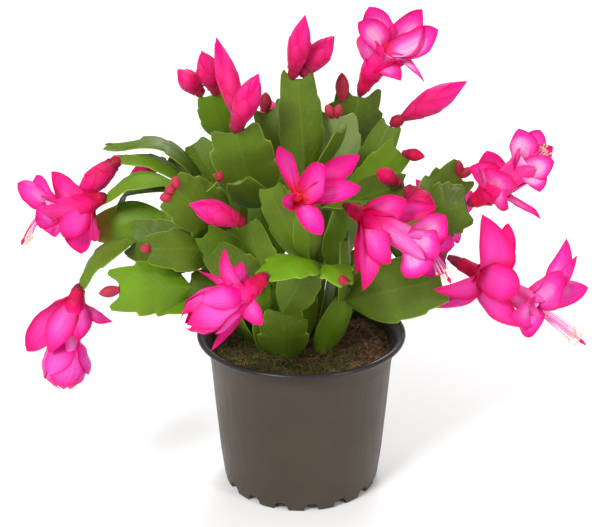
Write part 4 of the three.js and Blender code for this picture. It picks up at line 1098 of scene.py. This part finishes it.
def grow_petal(shape, centre, ahead, radius, tip, width, turned, pale, outer, closed=False):
    """Lays a slab out as one petal: forwards from the tube, then bent out and back to its tip. turned is
    how far its broad side swings round to the light. Those of a flower with a closed tube are paddles,
    narrow at the root, with a coral glow there."""
    away = square_to(ahead, tip - centre)
    root = centre + away * (radius - PETAL_SINK)
    span = (tip - root).length
    stations = [root, root + ahead * (0.34 * span) + away * (0.3 * span), tip]
    flat = (tip - root).normalized()
    across = ahead.cross(away).normalized()
    level = LIGHT.cross(flat).normalized()
    if level.dot(across) < 0:
        level.negate()
    across = across.lerp(level, turned).normalized()
    seed = petal_draw.uniform(0, 100)
    curl = petal_draw.uniform(*PETAL_CURL) * span
    roll = petal_draw.choice((-1, 1)) * petal_draw.uniform(*(STRAP_ROLL if width < STRAP else PETAL_ROLL))
    cupped = petal_draw.uniform(*PETAL_CUP)
    root_share = PADDLE_ROOT if closed else petal_draw.uniform(*PETAL_ROOT)
    widest = PADDLE_WIDEST if closed else petal_draw.uniform(*PETAL_WIDEST)
    point = petal_draw.uniform(*PETAL_POINT)
    ruffle = petal_draw.uniform(*PETAL_RUFFLE)
    silk, tint = silk_and_tint(shape)
    for corner in add_copy(shape, petal_slab):
        side, along, face = math.sin(corner.co.x * math.pi / 2), corner.co.y, corner.co.z
        middle, forward = curve_point(stations, along)
        inward = across.cross(forward).normalized()
        turn = roll * along * along
        wide = (across * math.cos(turn) + inward * math.sin(turn)).normalized()
        spread = petal_width(along, root_share, widest, point)
        half = spread * width / 2
        crease = 0.8 * math.exp(-(side / 0.2) ** 2) * (1 - 0.6 * along)
        cup = -(cupped * side * side + 0.06 * side ** 6) * width * spread * (1.5 - along) - crease
        wave = noise.noise(Vector((side * 0.9, along * 3.0, seed))) * 2.2 * abs(side) ** 1.5 * spread
        wave += noise.noise(Vector((side * 1.4, along * 8.0, seed + 9))) * ruffle * side * side * spread
        back = -curl * smooth_step(along, 0.6, 1.0)
        thick = PETAL_THICK * (1 - 0.55 * side * side) * (1 - 0.4 * along)
        corner.co = middle + wide * (side * half) + inward * (cup + wave + back + face * thick / 2)
        corner[silk] = (side, along, seed * 0.01)
        corner[tint] = (*petal_colour(side, along, pale, outer, CLOSED_GLOW if closed else GLOW), 1)


def add_rod(shape, mesh, stations, radius, colour_at):
    """A bent rod with its colour along it."""
    silk, tint = silk_and_tint(shape)
    for corner, point in zip(bend_rod(shape, mesh, stations, radius), mesh.vertices):
        share = min(1, max(0, point.co.z))
        corner[silk] = (0.3, share, 0.5)
        corner[tint] = (*colour_at(share), 1)


def tube_colour(share):
    if share < OVARY_END:
        return OVARY_RED.lerp(CRIMSON, smooth_step(share, 0.06, OVARY_END))
    return CRIMSON.lerp(LILAC, smooth_step(share, 0.3, 0.9)).lerp(WHITE_PINK, smooth_step(share, 0.9, 1.0))


def closed_tube_colour(share):
    if share < OVARY_END:
        return tube_colour(share)
    return CRIMSON.lerp(CORAL, smooth_step(share, OVARY_END, 0.42))


def wrap_petals(shape, slab, stations, girth, layers, draw, colour_at):
    """Petals laid round a curve layer by layer. Each layer: their number, where they start and end along
    the curve, how wide they wrap, how far off they stand, and how much further at the tip."""
    reference = curve_point(stations, 0.0)[1].orthogonal().normalized()
    silk, tint = silk_and_tint(shape)
    for layer, (count, low, high, wrap, off, flare) in enumerate(layers):
        for i in range(count):
            first = 2 * math.pi * (i + 0.37 * layer) / count + draw.uniform(-0.2, 0.2)
            end = high + draw.uniform(-0.04, 0.04)
            twist = draw.uniform(0.15, 0.4)
            for corner in add_copy(shape, slab):
                side, along, face = corner.co.x, corner.co.y, corner.co.z
                share = low + (end - low) * along
                centre, ahead = curve_point(stations, min(1, share))
                centre = centre + ahead * (max(0, share - 1) * (stations[-1] - stations[0]).length)
                across = square_to(ahead, reference)
                close = petal_width(0.3 + 0.7 * along, 0.7, 0.45, 2.2)
                turn = first + side * wrap * close + twist * along
                reach = girth(min(1, share)) + off + flare * along ** 3
                reach += SHEATH_THICK * face + SHEATH_BULGE * (1 - side * side)
                corner.co = centre + (across * math.cos(turn) + ahead.cross(across) * math.sin(turn)) * reach
                corner[silk] = (side, along, first)
                corner[tint] = (*colour_at(side, along, share), 1)


def close_cup(shape, start, tip, thick, pale):
    """The inner petals of a flower that isn't open yet: big and round, closed over each other, with a painted
    highlight of lilac along the middle of each.
    """
    def girth(share):
        return between(CUP, share) * thick / 2

    def colour(side, along, share):
        # light: lilac along each petal's middle, a painted highlight on the closed cup.
        light = pale * (1 - side * side) * smooth_step(share, 0.05, 0.3) * (1 - smooth_step(share, 0.45, 0.9))
        skin = MAGENTA.lerp(HOT_PINK, min(1, 0.4 + 0.6 * smooth_step(share, 0.5, 1.0)))
        return skin.lerp(CRIMSON, 0.6 * smooth_step(abs(side), 0.75, 1.0)).lerp(LILAC, light)

    wrap_petals(shape, petal_slab, [start, start.lerp(tip, 0.5), tip], girth, CUP_LAYERS, petal_draw, colour)


def add_stamens(shape, mouth, ahead, count, towards):
    """Thin pale filaments in a loose brush, each with a cream anther at its end."""
    side = ahead.orthogonal().normalized()
    for i in range(count):
        turn = BRUSH_TURN * i
        spread = side * math.cos(turn) + ahead.cross(side) * math.sin(turn)
        reach = 0.55 + 0.3 * petal_draw.random()
        root = mouth - ahead * BRUSH_DEPTH + spread * 1.6
        end = mouth.lerp(towards, reach) + spread * petal_draw.uniform(*BRUSH_SPREAD)
        stations = [root, mouth + ahead * 6 + spread * 2.0, end]
        add_rod(shape, thin_rod, stations, lambda share: FILAMENT * (1 - 0.3 * share),
                lambda share: WHITE_PINK.lerp(LILAC, 1 - share))
        way = curve_point(stations, 1.0)[1]
        add_rod(shape, thin_rod, [end - way * 0.2, end + way * 1.5],
                lambda share: 0.12 + (ANTHER - 0.12) * math.sin(math.pi * share), lambda share: CREAM)


def add_style(shape, mouth, ahead, end):
    """The style: longer than the stamens, with a knob of a stigma at its end."""
    def girth(share):
        return STYLE + (0 if share < 0.9 else 0.75 * math.sin(math.pi * (share - 0.9) / 0.1))

    stations = [mouth - ahead * 3, mouth + ahead * 8, end]
    add_rod(shape, tube_rod, stations, girth, lambda share: STYLE_PINK)


def bloom_axis(carrier, bloom):
    """Control points of the tube's curve from the tip through the throat to the mouth."""
    foot = carrier + Vector(bloom.get("beside", (0, 0, 0)))
    throat, mouth = Vector(bloom["throat"]), Vector(bloom["mouth"])
    foot = foot + (throat - foot).normalized() * SEAT
    knee = throat * 2 - (foot + mouth) / 2
    return [foot, knee, mouth]


def petal_finish():
    """Silky skin in the colours that the petals carry, with fine veins along them."""
    finish, tree, shader, place = new_finish(
        "silky_petal", Roughness=0.42, Specular_IOR_Level=0.13, Subsurface_Weight=0.12,
        Subsurface_Scale=0.002, Subsurface_Radius=(1.0, 0.25, 0.5))
    tint = wire(tree, "ShaderNodeAttribute", attribute_name="tint").outputs["Color"]
    silk = wire(tree, "ShaderNodeAttribute", attribute_name="silk").outputs["Vector"]
    stretch = wire(tree, "ShaderNodeMapping", {"Vector": silk, "Scale": (16.0, 0.9, 40.0)}).outputs["Vector"]
    veins = grain(tree, stretch, 1.0, 3.0)
    patch = grain(tree, place, 120.0, 3.0)
    veined = blend_colours(tree, grey_ramp(tree, veins, (0.34, 0.34), (0.58, 0.0)), tint, (0.66, 0.004, 0.16))
    soft = blend_colours(tree, grey_ramp(tree, patch, (0.5, 0.0), (0.75, 0.10)), veined, (0.9, 0.08, 0.60))
    tree.links.new(soft, shader.inputs["Base Color"])
    roughen(tree, shader, veins, 0.45, 0.0006)
    return finish


silky_petal = petal_finish()
for name, bloom in BLOOMS.items():
    bloom_shape = new_petals()
    axis = bloom_axis(tip_of[bloom["on"]], bloom)
    closed = "closed" in bloom
    tube = CLOSED_TUBE if closed else TUBE

    def tube_girth(share):
        return between(tube, share) * (1 + (bloom.get("stout", 1) - 1) * smooth_step(share, 0.05, 0.35))

    def sleeve_colour(side, along, share):
        light = bloom.get("fade", bloom["pale"]) * (1 - 0.5 * abs(side))
        light = min(1, light * smooth_step(share, 0.42, 0.75))
        skin = CRIMSON.lerp(HOT_PINK, smooth_step(share, 0.2, 0.5)).lerp(LILAC, light)
        return skin.lerp(WHITE_PINK, 0.6 * max(0, light - 0.4))

    add_rod(bloom_shape, throat_rod, axis, tube_girth, closed_tube_colour if closed else tube_colour)
    wrap_petals(bloom_shape, wrap_slab, axis, tube_girth, SLEEVES[:2 if closed else 3], petal_draw,
                sleeve_colour)
    turned = TURN_AT_BACK if name.startswith("bloom_back") else TURN_TO_LIGHT
    for tier, tip, width in bloom["petals"]:
        at, radius = (bloom.get("first", FIRST_TIER[0]), FIRST_TIER[1]) if tier == 1 else SECOND_TIER
        centre, ahead = curve_point(axis, at)
        pale = bloom["pale"] * (0.6 if tier == 1 else 1.0)
        outer = 0.3 if tier == 2 or closed else 1.0
        grow_petal(bloom_shape, centre, ahead, radius, Vector(tip), width + PETAL_MORE, turned, pale, outer,
                   closed)
    if "cup" in bloom:
        cup_tip, thick = bloom["cup"]
        cup_start = curve_point(axis, bloom.get("cup_from", 0.55))[0]
        close_cup(bloom_shape, cup_start, Vector(cup_tip), thick, bloom["pale"])
    for i in range(SCALE_PETALS):
        centre, ahead = curve_point(axis, CLOSED_SCALE_AT if closed else SCALE_AT)
        side = ahead.orthogonal().normalized()
        side = Matrix.Rotation(1.6 * i + petal_draw.random(), 3, ahead) @ side
        tip = centre + side * petal_draw.uniform(*SCALE_OUT) + ahead * petal_draw.uniform(*SCALE_UP)
        grow_petal(bloom_shape, centre, ahead, SCALE_START, tip, SCALE_WIDTH, 0.0, 0.0, 1.0)
    mouth, ahead = curve_point(axis, 1.0)
    towards = Vector(bloom["style"]) if "style" in bloom else mouth + ahead * BRUSH_LENGTH
    add_stamens(bloom_shape, mouth, ahead, bloom["stamens"], towards)
    if "style" in bloom:
        add_style(bloom_shape, mouth, ahead, Vector(bloom["style"]))
    set_down(bloom_shape, "open_" + name, silky_petal, "petal", name)

# The closed buds: silky petals still wrapped round each other in four layers, the outer ones short and
# dark at the foot, the pointed tips of the innermost closing the end. Each grows from a segment's tip.

# Each row: what carries it and how far beside that tip it sits, its own tip, its thickness, and how far
# it has coloured, from 0, small and dark red, to 1, about to open.
BUDS = {
    "bud_top_left_front": ("E3", (-1, -1, 0), (-22, -23, 250), 12.5, 0.85),
    "bud_top_left_back": ("E3", (4, 1.2, 0.6), (-46, 13, 261), 11, 0.85),
    "bud_far_top_left": ("F1", (-3.8, 2, -0.5), (-68, 22, 241), 11, 0.6),
    "bud_top_left": ("F1", (4, 0, 0.4), (-54, 14, 253), 12, 0.6),
    "bud_crown": ("E1", (-3, 0, -0.7), (2, -2, 276), 11, 0.85),
    "bud_crown_right": ("E1", (1, 1.4, 0.7), (18, 15, 261), 12, 0.7),
    "bud_upper_right": ("D4", (-0.1, 0.1, 0.3), (89, 2, 239), 13, 0.85),
    "bud_front_left": ("I2", (-0.6, -0.9, -0.2), (-58, -50, 188), 12, 1.0),
    "bud_right": ("C4", (0.5, -2.4, 0), (69, -45, 180), 12, 0.3),
    "bud_left": ("G3", (-1, 1, 0), (-98, 22, 178), 9, 0.4),
    "bud_far_left": ("G2", (-0.9, 0, -0.2), (-124, -4, 175), 12, 0.8),
    "bud_small_right": ("C4", (-0.9, -0.8, 0.9), (39, -32, 200), 8, 0.15),
    "bud_small_upper_right": ("C3", (1.1, -2.1, 0.1), (66, -18, 203), 6, 0.0),
    "bud_back_left": ("Q6", (-0.1, 0.7, 0.5), (-112, 60, 126), 11, 0.4),
    "bud_back": ("S3", (0.4, -0.1, -0.1), (-22, 112, 200), 12, 0.85),
    "bud_back_right": ("U4", (0.2, -0.2, 0.1), (44, 104, 170), 12, 0.85),
    "bud_back_low": ("S6", (0.8, 0.3, 0.6), (34, 130, 120), 10, 0.3),
}
# The layers of a bud, as those of a flower's sheath, with the stand-off as a part of its thickness.
BUD_LAYERS = ((4, 0.17, 0.36, 1.25, 0.050, 0.02), (4, 0.19, 0.62, 1.15, 0.034, 0.02),
              (4, 0.25, 0.86, 1.0, 0.018, 0.015), (3, 0.35, 0.96, 1.1, 0.0, 0.01))
BUD_RED = Vector((0.26, 0.012, 0.020))
# The share of its length at which a bud's neck ends, where the ovary stands clear of the petals.
NECKS = {"bud_upper_right": 0.12, "bud_small_right": 0.08}
CLEAR_NECK = 0.05
SHORT_NECK = 0.01
BUD_CORE = 0.96
bud_draw = random.Random(808)


def bud_girth(share, thick, neck):
    """The ovary at the foot, a neck that ends at the share given, and the petals' long spindle."""
    share = min(1, max(0, share))
    knob = (share - 0.085) / 0.09
    if neck < CLEAR_NECK:
        knob = min(0, knob)
    along = max(0, (share - neck) / (1 - neck))
    blunt = 0.8 if along < 0.5 else 1.05
    spindle = 0.5 * math.sin(math.pi * along ** 1.15) ** blunt + 0.02 * (1 - share)
    ovary = 0.3 * math.sqrt(max(0, 1 - knob ** 2)) * (1 - smooth_step(share, 0.4, 0.6))
    return thick * max(spindle, ovary, 0.05 * (1 - share))


for name, (on, beside, point, thick, ripe) in BUDS.items():
    bud_shape = new_petals()
    foot = tip_of[on] + Vector(beside)
    point = Vector(point)
    foot = foot + (point - foot).normalized() * SEAT

    def this_girth(share):
        return bud_girth(share, thick, NECKS.get(name, SHORT_NECK)) * BUD_CORE

    def bud_colour(share):
        skin = CRIMSON.lerp(HOT_PINK, ripe * smooth_step(share, 0.15, 0.7))
        skin = skin.lerp(MAGENTA, 0.4 * ripe * smooth_step(share, 0.5, 1.0))
        return BUD_RED.lerp(skin, smooth_step(share, 0.13, 0.24 + 0.5 * (1.0 - ripe)))

    def bud_petal_colour(side, along, share):
        # The lilac along each petal's middle, growing towards its tip, is a painted highlight.
        skin = bud_colour(share).lerp(LILAC, 0.3 * ripe * along * (1 - abs(side)))
        return skin.lerp(BUD_RED, 0.4 * smooth_step(abs(side), 0.75, 1.0))

    layers = [(*layer[:4], layer[4] * thick, layer[5] * thick) for layer in BUD_LAYERS]
    add_rod(bud_shape, tube_rod, [foot, point], this_girth, bud_colour)
    wrap_petals(bud_shape, wrap_slab, [foot, point], this_girth, layers, bud_draw, bud_petal_colour)
    set_down(bud_shape, "closed_" + name, silky_petal, "bud", name)

# The rods and slabs that the pieces were laid out from aren't pieces themselves.
for template in (thin_rod, segment_slab, pin_rod, petal_slab, wrap_slab, tube_rod, throat_rod):
    bpy.data.meshes.remove(template)
